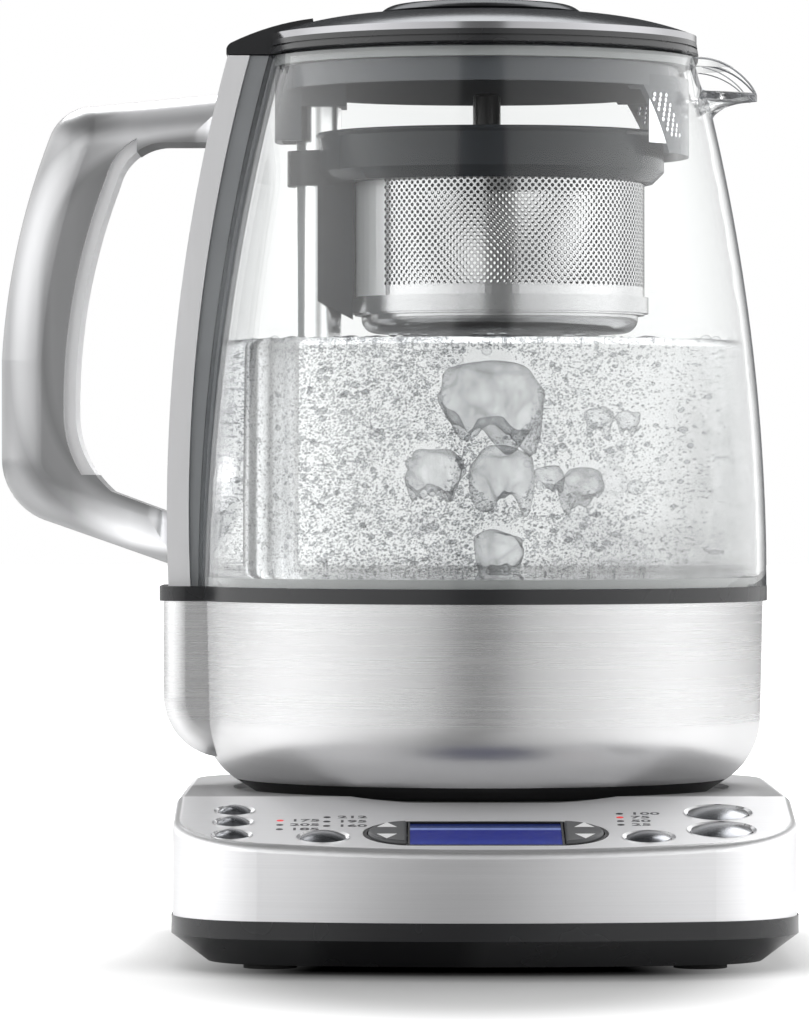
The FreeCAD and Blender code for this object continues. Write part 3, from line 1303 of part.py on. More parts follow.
def make_lid():
    rim_top = s.trim_bottom
    trim_top = s.trim_bottom + s.trim_height
    rim = turned("rim", [
        (s.skirt_radius - s.skirt_wall, s.lid_rim_bottom), (s.lid_radius, s.lid_rim_bottom),
        (s.lid_radius + s.rim_flare, s.lid_rim_bottom + s.rim_flare), (s.lid_radius, rim_top),
        (s.skirt_radius - s.skirt_wall, rim_top),
    ])
    groove = tube("rim_groove", s.lid_radius + PAST, s.lid_radius - s.rim_flare, s.groove_z, s.groove_width)
    ring = cut("rim_ring", rim, groove)
    node("lid_rim", fuse("rim_whole", ring, rear_lug("lug", 0, s.lug_half_width)))
    trim = tube("trim", s.lid_radius, s.lid_radius - s.trim_width, s.trim_bottom, s.trim_height)
    node("lid_trim_ring", cut("trim_ring", trim, rear_lug("trim_lug_way", FIT, s.lug_half_width)))
    lip = s.lid_radius - s.trim_width - FIT
    dome = turned("dome", [
        (lip - s.dome_wall, rim_top), (lip, rim_top), (lip, trim_top),
        (s.lid_radius - FIT, trim_top, s.dome_curve), (s.dome_flat, s.dome_top), (0, s.dome_top),
        (0, s.dome_top - s.dome_wall),
        (s.dome_flat, s.dome_top - s.dome_wall, -s.dome_curve + s.dome_wall), (lip - s.dome_wall, trim_top),
    ])
    node("lid_dome", cut("dome_cut", dome, rear_lug("dome_lug_way", FIT, s.lug_half_width)))
    node("lid_knob", turned("knob", [
        (0, s.dome_top), (s.knob_radius - s.knob_edge, s.dome_top),
        (s.knob_radius, s.dome_top + s.knob_edge, s.knob_curve),
        (s.knob_shoulder, s.knob_top - s.knob_crown, s.knob_crown_curve),
        (s.knob_flat, s.knob_top), (0, s.knob_top),
    ]))
    make_skirt()


def make_skirt():
    """The plastic skirt inside the glass, with its two legs and the socket over the post."""
    skirt = tube("skirt_ring", s.skirt_radius, s.skirt_radius - s.skirt_wall, s.skirt_bottom,
                 s.lid_rim_bottom - s.skirt_bottom)
    leg_radius = glass_radius(s.glass_rim_z) - s.glass_wall - CLEAR
    leg_round = cylinder("rear_leg_round", leg_radius, s.rear_leg_bottom,
                         s.seal_z - GAP - s.rear_leg_bottom)
    leg_face = s.post_x + s.post_radius - s.rear_leg_lap
    leg_zone = box("rear_leg_zone", -s.glass_foot_radius, -leg_face, -s.rear_leg_half, s.rear_leg_half,
                   s.rear_leg_bottom, s.lid_rim_bottom)
    room_half = s.post_radius + CLEAR
    leg_room = box("rear_leg_room", -leg_radius + s.skirt_wall, -s.post_x, -room_half, room_half,
                   s.rear_leg_bottom - PAST, s.socket_bottom)
    leg = cut("rear_leg", common("rear_leg_block", leg_round, leg_zone), leg_room)
    tie = box("rear_leg_tie", -s.skirt_radius - s.skirt_wall / 2, -s.skirt_radius + s.skirt_wall,
              -s.rear_leg_half, s.rear_leg_half, s.skirt_bottom, s.seal_z - GAP)
    socket = box("post_socket", -s.skirt_radius + s.skirt_wall / 2, -s.socket_end, -s.socket_half,
                 s.socket_half, s.socket_bottom, s.socket_top)
    bore = cylinder("post_socket_bore", s.post_radius + CLEAR, s.socket_bottom - PAST,
                    s.post_top + CLEAR - s.socket_bottom + PAST, -s.post_x)
    body = fuse("skirt_solid", skirt, leg, tie, socket)
    node("lid_skirt", cut("skirt", body, bore))
    mouth = glass_radius(s.glass_rim_z) - s.glass_wall - FIT
    node("lid_seal", tube("seal_ring", mouth, s.skirt_radius + FIT, s.seal_z, s.seal_lip))
    make_filter()


def make_filter():
    """The curved, perforated screen in front of the spout."""
    centre = s.filter_reach - s.filter_curve
    height = s.skirt_bottom + s.filter_overlap - s.filter_bottom
    plate = cylinder("filter_plate", s.filter_curve, s.filter_bottom, height, centre)
    hollow = cylinder("filter_hollow", s.filter_curve - (s.filter_reach - s.skirt_radius),
                      s.filter_bottom - PAST, height + 2 * PAST, centre)
    thin_hollow = cylinder("filter_thin_hollow", s.filter_curve - s.filter_wall, s.filter_bottom - PAST,
                           s.skirt_bottom - s.filter_wall - s.filter_bottom + PAST, centre)
    skirt_way = cylinder("filter_skirt_way", s.skirt_radius, s.skirt_bottom, height)
    slant = (s.filter_half_top - s.filter_half_foot) / (s.skirt_bottom - s.filter_bottom)
    half_rim = s.filter_half_top + s.filter_overlap * slant
    rim = s.skirt_bottom + s.filter_overlap
    zone = drawn("filter_zone", outline("filter_outline", [
        (-half_rim, rim), (-s.filter_half_foot, s.filter_bottom), (s.filter_half_foot, s.filter_bottom),
        (half_rim, rim),
    ], SIDE), s.glass_foot_radius)
    start = s.skirt_radius - 2 * s.skirt_wall - centre
    holes = []
    for row in FILTER_ROWS:
        z = s.filter_first - row * s.filter_row
        for column in FILTER_COLUMNS:
            for side in (-1, 1):
                turn = side * (FILTER_TURN - row * FILTER_LEAN + (column + row % 2 / 2) * FILTER_STEP)
                hole = add("Part::Cylinder", f"filter_hole_{row}_{column + 1}_{side + 1}")
                bind(hole, "Radius", s.filter_hole)
                bind(hole, "Height", s.filter_curve + PAST - start)
                hole.Placement = Placement(Vector(), Rotation(turn, 90, 0))
                holes.append(move(hole, centre + start * math.cos(math.radians(turn)),
                                  start * math.sin(math.radians(turn)), z))
    sheet_body = common("filter_block", plate, zone)
    thick = cut("filter_thick", sheet_body, hollow, skirt_way)
    node("spout_filter", cut("filter_sheet", cut("filter_thin", thick, thin_hollow), *holes))


# ------------------------------------------------------------------------------------------------
# Build, check and write
# ------------------------------------------------------------------------------------------------
make_base()
make_bowl()
make_glass()
make_floor()
make_post()
make_column()
make_handle()
make_basket()
make_lid()
doc.recompute()

failed = [obj.Name for obj in doc.Objects if "Invalid" in obj.State or "Error" in obj.State]
if failed:
    raise RuntimeError(f"not built: {failed}")

os.makedirs("parts", exist_ok=True)
for name, obj in nodes.items():
    if obj.Shape.isNull() or not obj.Shape.isValid() or not obj.Shape.Solids:
        raise RuntimeError(f"{name} has no valid solid")
    obj.Shape.exportStep(f"parts/{name}.step")
print(f"{len(nodes)} pieces written")
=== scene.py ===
"""Looks of an automatic tea maker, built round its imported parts. Metres, +Z up, the key panel towards -Y."""
import math
import random

import bmesh
import bpy
from mathutils import Matrix, Vector, noise


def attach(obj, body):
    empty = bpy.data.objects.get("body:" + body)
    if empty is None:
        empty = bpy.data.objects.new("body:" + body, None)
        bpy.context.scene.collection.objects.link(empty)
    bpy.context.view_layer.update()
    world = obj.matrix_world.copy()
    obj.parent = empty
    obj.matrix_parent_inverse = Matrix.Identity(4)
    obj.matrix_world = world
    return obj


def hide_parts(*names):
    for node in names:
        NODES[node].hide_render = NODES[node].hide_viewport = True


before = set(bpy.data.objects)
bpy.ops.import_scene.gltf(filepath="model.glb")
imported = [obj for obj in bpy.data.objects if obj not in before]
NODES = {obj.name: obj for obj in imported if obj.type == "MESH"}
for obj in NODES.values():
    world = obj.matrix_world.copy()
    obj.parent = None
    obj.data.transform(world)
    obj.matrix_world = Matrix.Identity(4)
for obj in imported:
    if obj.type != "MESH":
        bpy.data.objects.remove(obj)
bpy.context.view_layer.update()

MM = 0.001

# The jug's axis, and the places that the pieces here are set against, in millimetres
AXIS = Vector((24.75, 16.0, 0.0))
BASKET_X = 5.1
SLEEVE_RADIUS = 39.8
SLEEVE_WALL = 0.5
SLEEVE_FOOT = 172.6
SLEEVE_TOP = 212.0
GLASS_FOOT_Z = 98.2
GLASS_FOOT_RADIUS = 78.4
GLASS_CURVE = 564.0
GLASS_WALL = 2.6
GLASS_RIM_Z = 242.4
PLATE_TOP = 99.7
PLATE_RADIUS = 73.2
SEAL_TOP = 100.6
WATER_TOP = 164.6
POST_X = -44.7
POST_CLEARANCE = 10.0
PANEL_START = 58.0
PANEL_TOP = 43.0
PANEL_ANGLE = math.radians(10.5)
WINDOW_SLOPE = 41.3
WINDOW_HALF_HEIGHT = 12.2
BOWL_CURVE = (62.0, 50.0)
# The upper edge of the spout, from the jug's axis
SPOUT_REACH = 75.9
SPOUT_TIP_Z = 233.4
SPOUT_TIP_RADIUS = 6.0
SPOUT_SLANT = math.radians(36.0)
SPOUT_CREST_X = 58.0
SPOUT_CREST = 19.0
# The spout's two beads: how far inside its outline and below its edge, where they start, and their radius.
# Their opaque grey is painted shade of the glass's edge
SPOUT_BEADS = [("spout_bead", 0.35, 0.32, 57.2, 0.26), ("spout_fold", 2.0, 2.5, 60.0, 0.16)]

# The display's glow from its upper edge (0) to its lower edge (1), with a painted gloss streak across it
DISPLAY_GLOW_AND_PAINTED_GLOSS = [(0.0, (0.010, 0.018, 0.075)), (0.15, (0.012, 0.022, 0.085)), (0.19, (0.15, 0.20, 0.42)),
                 (0.24, (0.15, 0.20, 0.42)), (0.28, (0.004, 0.010, 0.155)), (0.65, (0.004, 0.012, 0.165)),
                 (0.84, (0.010, 0.024, 0.215)), (0.92, (0.004, 0.012, 0.13)), (1.0, (0.004, 0.006, 0.03))]
# The lit indicator lamps, x and slope on the panel, and their half sizes along x and y, in metres
LIT_LAMPS = [(-53.5, 27.2), (35.3, 23.7)]
LAMP_HALF_X = 0.0012
LAMP_HALF_Y = 0.0015
# The handle's rounded outline from the jug's axis, where its painted reflection turns from the arms' to the
# grip's, and how bright that painted reflection makes both from the outline's middle (0) to its outside (1)
HANDLE_X = -60.0
HANDLE_Z = 169.0
HANDLE_HALF_WIDTH = 72.0
HANDLE_HALF_HEIGHT = 63.0
HANDLE_POWER = 3.0
ARM_END = -36.0
GRIP_START = -52.0
HANDLE_TONES_END = 1.3
GRIP_PAINTED_REFLECTION = [(0.0, 0.36), (0.50, 0.44), (0.56, 0.36), (0.62, 0.46), (0.72, 0.44), (0.80, 0.38), (0.88, 0.28),
              (0.96, 0.30), (1.04, 0.34)]
ARM_PAINTED_REFLECTION = [(0.0, 0.5), (0.50, 0.26), (0.56, 0.42), (0.64, 0.88), (0.80, 0.96), (0.92, 0.80), (1.0, 0.42),
             (1.04, 0.36)]
# The base's steel by how far its faces look up (Z) or to the front (Y): sides, folded edge and level deck. The
# folded front edge's dark line and the darker level deck are painted shade
TOP_Z = 0.7
FOLD_RISE = (0.50, 0.75)
FOLD_LEVEL = (0.97, 0.92)
FOLD_FRONT_Y = -0.12
FOLD_PAINTED_SHADE = 0.45
DECK_Z = (0.988, 0.996)
DECK_PAINTED_SHADE = 0.5
TOP_METALLIC = 0.42
SIDE_DEPTH = 0.000009
TOP_DEPTH = 0.000014
# How much the roughness of brushed metal varies either way
ROUGH_SPREAD = 0.05
# The glass's painted dark outline, its paler and wider painted shade at the spout, and the painted grey of the
# lip. Each zone is x from the jug's axis and height, from where it begins to where it is full, in mm
OUTLINE_PAINTED_SHADE = (0.09, 0.095, 0.105)
OUTLINE_FALL = 7.0
SPOUT_ZONE = ((69.0, 75.0), (208.0, 218.0))
SPOUT_PAINTED_SHADE = (0.26, 0.265, 0.275)
SPOUT_FALL = 1.7
LIP_ZONE = ((61.0, 65.0), (222.0, 228.0))
LIP_PAINTED_SHADE_SHARE = 0.16
# Soft patches in the boiling water: x and z from the jug's axis, half sizes in mm, and how dim. Most are grey
# cloud; the one with a negative share is a painted bright patch, and the wide low one over the heater plate is
# painted shade
WATER_HAZE_AND_PAINTED_LIGHT = [
    (68.0, 128.0, 25.0, 56.0, 0.50), (-54.0, 130.0, 24.0, 60.0, -0.36), (38.0, 106.0, 30.0, 13.0, 0.24),
    (26.0, 118.0, 13.0, 14.0, 0.10), (36.0, 160.5, 16.0, 4.0, 0.10), (8.0, 100.5, 80.0, 6.0, 0.26),
]


# ------------------------------------------------------------------------------------------------
# Materials
# ------------------------------------------------------------------------------------------------
class Graph:
    """The nodes of a material or a world, in few words. place is the position in the frame, in metres, or the
    direction in a world."""

    def __init__(self, name, world=False):
        self.owner = (bpy.data.worlds if world else bpy.data.materials).new(name)
        self.owner.use_nodes = True
        self.tree = self.owner.node_tree
        self.tree.nodes.clear()
        self.output = self.node("ShaderNodeOutputWorld" if world else "ShaderNodeOutputMaterial")
        self.place = self.node("ShaderNodeTexCoord").outputs["Generated" if world else "Object"]

    def node(self, kind, inputs=None, **settings):
        made = self.tree.nodes.new(kind)
        for name, value in settings.items():
            setattr(made, name, value)
        for name, value in (inputs or {}).items():
            self.feed(made.inputs[name], value)
        return made

    def feed(self, socket, value):
        if isinstance(value, bpy.types.NodeSocket):
            self.tree.links.new(value, socket)
        elif socket.type == "RGBA":
            socket.default_value = (*value, 1.0)
        else:
            socket.default_value = value

    def axis(self, name, vector=None):
        """One coordinate of the place, or of another vector."""
        vector = self.place if vector is None else vector
        return self.node("ShaderNodeSeparateXYZ", {"Vector": vector}).outputs[name]

    def stretched(self, x, y, z):
        """The place with each axis scaled."""
        return self.node("ShaderNodeMapping", {"Vector": self.place, "Scale": (x, y, z)}).outputs["Vector"]

    def noise(self, vector, scale=1.0, detail=2.0, roughness=0.5):
        made = self.node("ShaderNodeTexNoise", {
            "Vector": vector, "Scale": scale, "Detail": detail, "Roughness": roughness,
        })
        return made.outputs["Fac"]

    def spread(self, value, start, end, low=0.0, high=1.0, curve="LINEAR"):
        """What lies between start and end, spread between low and high."""
        made = self.node("ShaderNodeMapRange", {
            "Value": value, "From Min": start, "From Max": end, "To Min": low, "To Max": high,
        }, interpolation_type=curve)
        return made.outputs["Result"]

    def ranged(self, value, low, high):
        """A 0 to 1 value spread between low and high."""
        return self.spread(value, 0.0, 1.0, low, high)

    def math(self, operation, *values):
        return self.node("ShaderNodeMath", dict(enumerate(values)), operation=operation).outputs["Value"]

    def vector(self, operation, *values):
        made = self.node("ShaderNodeVectorMath", dict(enumerate(values)), operation=operation)
        return made.outputs["Vector"]

    def tint(self, factor, first, second):
        """Two colours mixed."""
        made = self.node("ShaderNodeMix", data_type="RGBA")
        for place, value in ((0, factor), (6, first), (7, second)):
            self.feed(made.inputs[place], value)
        return made.outputs[2]

    def ramp(self, value, stops):
        """The colour at value between stops of place and colour."""
        made = self.node("ShaderNodeValToRGB", {"Fac": value})
        for _ in stops[2:]:
            made.color_ramp.elements.new(0.5)
        for element, (at, colour) in zip(made.color_ramp.elements, stops):
            element.position = at
            element.color = (*colour, 1.0)
        return made.outputs["Color"]

    def bump(self, height, depth):
        return self.node("ShaderNodeBump", {"Height": height, "Distance": depth}).outputs["Normal"]

    def shader(self, inputs):
        return self.node("ShaderNodeBsdfPrincipled", inputs).outputs["BSDF"]

    def mixed(self, factor, first, second):
        """Two shaders mixed."""
        return self.node("ShaderNodeMixShader", {"Fac": factor, 1: first, 2: second}).outputs["Shader"]

    def show(self, shader):
        self.tree.links.new(shader, self.output.inputs["Surface"])
        return self.owner

    def seen_straight(self):
        """1 for what the camera sees straight, for what it sees through glass, and for either of the two. All
        three are 0 for what the object mirrors."""
        path = self.node("ShaderNodeLightPath").outputs
        turned_away = self.math("ADD", path["Glossy Depth"], path["Diffuse Depth"])
        through = self.math("MULTIPLY", path["Is Transmission Ray"], self.math("LESS_THAN", turned_away, 0.5))
        return path["Is Camera Ray"], through, self.math("MAXIMUM", path["Is Camera Ray"], through)


def brushed_metal(name, colour, rough, along, depth=0.000006, shift=0.03, smear=0.0, foot=0.0):
    """Metal with fine brush lines. along scales the place, so that the lines run where it is least. foot is
    how much rougher it gets where it curves in at the bottom of the bowl."""
    g = Graph(name)
    lines = g.noise(g.stretched(*along), detail=3.0, roughness=0.65)
    wide = g.noise(g.stretched(*[value * 0.22 for value in along]), detail=2.0)
    mixed = g.math("MULTIPLY_ADD", lines, 0.6, g.math("MULTIPLY", wide, 0.4))
    dark = [value * (1 - shift) for value in colour]
    light = [min(1.0, value * (1 + shift)) for value in colour]
    low = g.spread(g.axis("Z"), *[height * MM for height in BOWL_CURVE])
    fine = g.ranged(mixed, rough - ROUGH_SPREAD, rough + ROUGH_SPREAD)
    tangent = g.node("ShaderNodeTangent", direction_type="RADIAL", axis="Z").outputs["Tangent"]
    return g.show(g.shader({
        "Base Color": g.tint(mixed, dark, light), "Metallic": 1.0,
        "Roughness": g.math("ADD", fine, g.math("MULTIPLY", low, foot)), "Normal": g.bump(mixed, depth),
        "Anisotropic": smear, "Tangent": tangent,
    }))


def lacquer(name, colour, share, rough):
    """Black lacquer whose gloss stays faint at every angle."""
    g = Graph(name)
    cloud = g.noise(g.place, 70.0, 3.0)
    light = [value * 1.5 for value in colour]
    matt = g.node("ShaderNodeBsdfDiffuse", {"Color": g.tint(cloud, colour, light)}).outputs["BSDF"]
    gloss = g.node("ShaderNodeBsdfGlossy", {
        "Color": (0.9, 0.92, 0.95), "Roughness": g.ranged(cloud, rough - 0.03, rough + 0.03),
        "Normal": g.bump(g.noise(g.place, 900.0, 2.0), 0.0000004),
    }).outputs["BSDF"]
    return g.show(g.mixed(share, matt, gloss))


def handle_metal():
    """Polished metal with a painted reflection: the grip goes from bright on its outside to dark towards the
    hand's opening.
    """
    g = Graph("handle_metal")
    across = g.math("ADD", g.math("DIVIDE", g.axis("X"), MM), -HANDLE_X - AXIS.x)
    upward = g.math("SUBTRACT", g.math("DIVIDE", g.axis("Z"), MM), HANDLE_Z)
    parts = [g.math("POWER", g.math("ABSOLUTE", g.math("DIVIDE", value, half)), HANDLE_POWER)
             for value, half in ((across, HANDLE_HALF_WIDTH), (upward, HANDLE_HALF_HEIGHT))]
    out = g.math("DIVIDE", g.math("ADD", *parts), HANDLE_TONES_END)
    # arms and grip are the painted reflection: bright and dark bands of colour by place on the handle
    arms, grip = [
        g.ramp(out, [(at / HANDLE_TONES_END, (value, value * 1.005, value * 1.02)) for at, value in tones])
        for tones in (ARM_PAINTED_REFLECTION, GRIP_PAINTED_REFLECTION)]
    lines = g.noise(g.stretched(900.0, 900.0, 30.0), detail=3.0)
    return g.show(g.shader({
        "Base Color": g.tint(g.spread(across, ARM_END, GRIP_START), arms, grip), "Metallic": 1.0,
        "Roughness": g.ranged(lines, 0.29, 0.35), "Normal": g.bump(lines, 0.000001),
    }))


def cover_metal(name, colour, rough):
    """The base's steel: brushed from side to side on its top and round its sides, with painted shade on its
    front fold and its level deck.
    """
    g = Graph(name)
    facing = g.node("ShaderNodeTexCoord").outputs["Normal"]
    upward = g.axis("Z", facing)
    top = g.math("GREATER_THAN", g.math("ABSOLUTE", upward), TOP_Z)
    over = g.noise(g.stretched(14.0, 1400.0, 14.0), detail=3.0, roughness=0.65)
    round_it = g.noise(g.stretched(14.0, 14.0, 2600.0), detail=3.0, roughness=0.65)
    lines = g.node("ShaderNodeMix", {0: top, 2: round_it, 3: over}, data_type="FLOAT").outputs[0]
    edge = g.math("MULTIPLY", g.spread(upward, *FOLD_RISE), g.spread(upward, *FOLD_LEVEL))
    fold = g.math("MULTIPLY", edge, g.math("LESS_THAN", g.axis("Y", facing), FOLD_FRONT_Y))
    # painted shade: a dark line along the front fold and a darker level deck
    shade = g.math("MULTIPLY", g.ranged(fold, 1.0, FOLD_PAINTED_SHADE), g.spread(upward, *DECK_Z, 1.0, DECK_PAINTED_SHADE))
    tone = g.tint(lines, [value * 0.94 for value in colour], [value * 1.06 for value in colour])
    return g.show(g.shader({
        "Base Color": g.vector("MULTIPLY", tone, shade), "Metallic": g.ranged(top, 1.0, TOP_METALLIC),
        "Roughness": g.ranged(lines, rough - ROUGH_SPREAD, rough + ROUGH_SPREAD),
        "Normal": g.bump(lines, g.ranged(top, SIDE_DEPTH, TOP_DEPTH)),
    }))


def moulded_plastic(name, colour, rough, grain=0.000004, shine=0.5):
    """Plastic with a fine moulded grain and slightly uneven gloss."""
    g = Graph(name)
    fine = g.noise(g.place, 2600.0, 2.0)
    cloud = g.noise(g.place, 60.0, 2.0)
    light = [min(1.0, value * 1.15 + 0.004) for value in colour]
    return g.show(g.shader({
        "Base Color": g.tint(cloud, colour, light), "Roughness": g.ranged(cloud, rough - 0.04, rough + 0.05),
        "Specular IOR Level": shine, "Normal": g.bump(fine, grain),
    }))


def clear(name, colour, index, rim=None, fall=2.0, outline=0.0, cloud=None, haze_and_painted_light=()):
    """Glass, water or a bubble, which lets the light of the lamps through. Its colour turns to rim where it
    slopes away from the eye, a painted shade of its edges, and outline is how much of its very edge is painted
    dark. cloud, a stretch and a share, mottles it. The last argument holds soft patches of cloudy grey with
    painted light and shade among them, each as x and z from the jug's axis, half sizes and share."""
    g = Graph(name)
    facing = g.node("ShaderNodeLayerWeight", {"Blend": 0.5}).outputs["Facing"]
    tone = g.tint(g.math("POWER", facing, fall), colour, rim or colour)
    if cloud:
        stretch, share = cloud
        mottle = g.ranged(g.noise(g.stretched(*stretch), detail=4.0, roughness=0.6), 1.0 - share, 1.0 + share)
        tone = g.vector("MULTIPLY", tone, mottle)
    if haze_and_painted_light:
        tone = g.vector("MULTIPLY", tone, hazy(g, haze_and_painted_light))
    body = g.shader({"Base Color": tone, "Roughness": 0.0, "IOR": index, "Transmission Weight": 1.0})
    if outline:
        body = outlined(g, body, facing, outline)
    open_way = g.node("ShaderNodeBsdfTransparent", {"Color": colour}).outputs["BSDF"]
    shadow = g.node("ShaderNodeLightPath").outputs["Is Shadow Ray"]
    return g.show(g.mixed(shadow, body, open_way))


def hazy(g, patches):
    """How much light soft patches let through; a patch with a negative share lets more through, as painted
    light.
    """
    dim = 0.0
    for x, z, wide, high, share in patches:
        across = g.math("DIVIDE", g.math("SUBTRACT", g.axis("X"), (AXIS.x + x) * MM), wide * MM)
        upward = g.math("DIVIDE", g.math("SUBTRACT", g.axis("Z"), z * MM), high * MM)
        off = g.math("ADD", g.math("MULTIPLY", across, across), g.math("MULTIPLY", upward, upward))
        dim = g.math("ADD", dim, g.spread(off, 1.0, 0.0, 0.0, share, "SMOOTHSTEP"))
    puffs = g.ranged(g.noise(g.stretched(90.0, 90.0, 70.0), detail=4.0, roughness=0.6), 0.2, 1.8)
    return g.math("SUBTRACT", 1.0, g.math("MULTIPLY", dim, puffs))


def outlined(g, body, facing, outline):
    """Glass with a painted dark line along its very edge, a paler painted shade at the spout and painted grey
    at the lip.
    """

    def within(zone):
        (x_start, x_full), (z_start, z_full) = zone
        return g.math("MULTIPLY", g.spread(g.axis("X"), (AXIS.x + x_start) * MM, (AXIS.x + x_full) * MM),
                      g.spread(g.axis("Z"), z_start * MM, z_full * MM))

    spout = within(SPOUT_ZONE)
    edge = g.node("ShaderNodeBsdfDiffuse", {"Color": g.tint(spout, OUTLINE_PAINTED_SHADE, SPOUT_PAINTED_SHADE)}).outputs["BSDF"]
    line = g.math("MULTIPLY", g.math("POWER", facing, g.ranged(spout, OUTLINE_FALL, SPOUT_FALL)), outline)
    return g.mixed(g.math("ADD", line, g.math("MULTIPLY", within(LIP_ZONE), LIP_PAINTED_SHADE_SHARE)), body, edge)


def display_blue():
    """A lit blue display: brighter towards its upper edge, where a painted gloss streak crosses it, under
    gloss glass.
    """
    g = Graph("display_blue")
    fine = g.noise(g.stretched(900.0, 60.0, 60.0), detail=1.0)
    ends = [panel_point(0, WINDOW_SLOPE + side * WINDOW_HALF_HEIGHT).y for side in (-1, 1)]
    # the glow holds a painted gloss streak across the display
    glow = g.ramp(g.spread(g.axis("Y"), *ends), DISPLAY_GLOW_AND_PAINTED_GLOSS)
    return g.show(g.shader({
        "Base Color": g.tint(fine, (0.003, 0.003, 0.03), (0.004, 0.005, 0.04)), "Roughness": 0.2,
        "Emission Color": g.vector("MULTIPLY", glow, g.ranged(fine, 0.85, 1.15)),
        "Emission Strength": g.ranged(g.seen_straight()[2], 0.25, 1.0), "Specular IOR Level": 0.05,
    }))


def painted_glow_gauze():
    """Steel gauze with a painted glow, so that it shows bright through the small holes in front of it."""
    g = Graph("gauze")
    weave = g.noise(g.place, 2600.0, 2.0)
    return g.show(g.shader({
        "Base Color": g.tint(weave, (0.82, 0.82, 0.82), (0.95, 0.95, 0.95)), "Roughness": 0.4,
        "Metallic": 0.3, "Normal": g.bump(weave, 0.000004),
        # painted light: the gauze glows though it is no lamp
        "Emission Color": (0.95, 0.96, 1.0), "Emission Strength": 0.75,
    }))


def lamp_lens():
    """Indicator lamps: two are lit red, the others are dark."""
    g = Graph("lamp_lens")
    lit = 0.0
    for x, slope in LIT_LAMPS:
        at = panel_point(x, slope)
        here = g.math("MULTIPLY", g.math("COMPARE", g.axis("X"), at.x, LAMP_HALF_X),
                      g.math("COMPARE", g.axis("Y"), at.y, LAMP_HALF_Y))
        lit = g.math("ADD", lit, here)
    return g.show(g.shader({
        "Base Color": g.tint(lit, (0.012, 0.012, 0.014), (0.65, 0.02, 0.02)), "Roughness": 0.4,
        "Emission Color": (1.0, 0.03, 0.03), "Emission Strength": g.math("MULTIPLY", lit, 0.5),
        "Specular IOR Level": 0.2,
    }))


def panel_point(x, slope, off=0.0):
    """A point of the key panel: x from its middle, slope down from its upper edge, off its face, in mm."""
    return MM * (AXIS + Vector((
        x,
        -PANEL_START - slope * math.cos(PANEL_ANGLE) - off * math.sin(PANEL_ANGLE),
        PANEL_TOP - slope * math.sin(PANEL_ANGLE) + off * math.cos(PANEL_ANGLE),
    )))


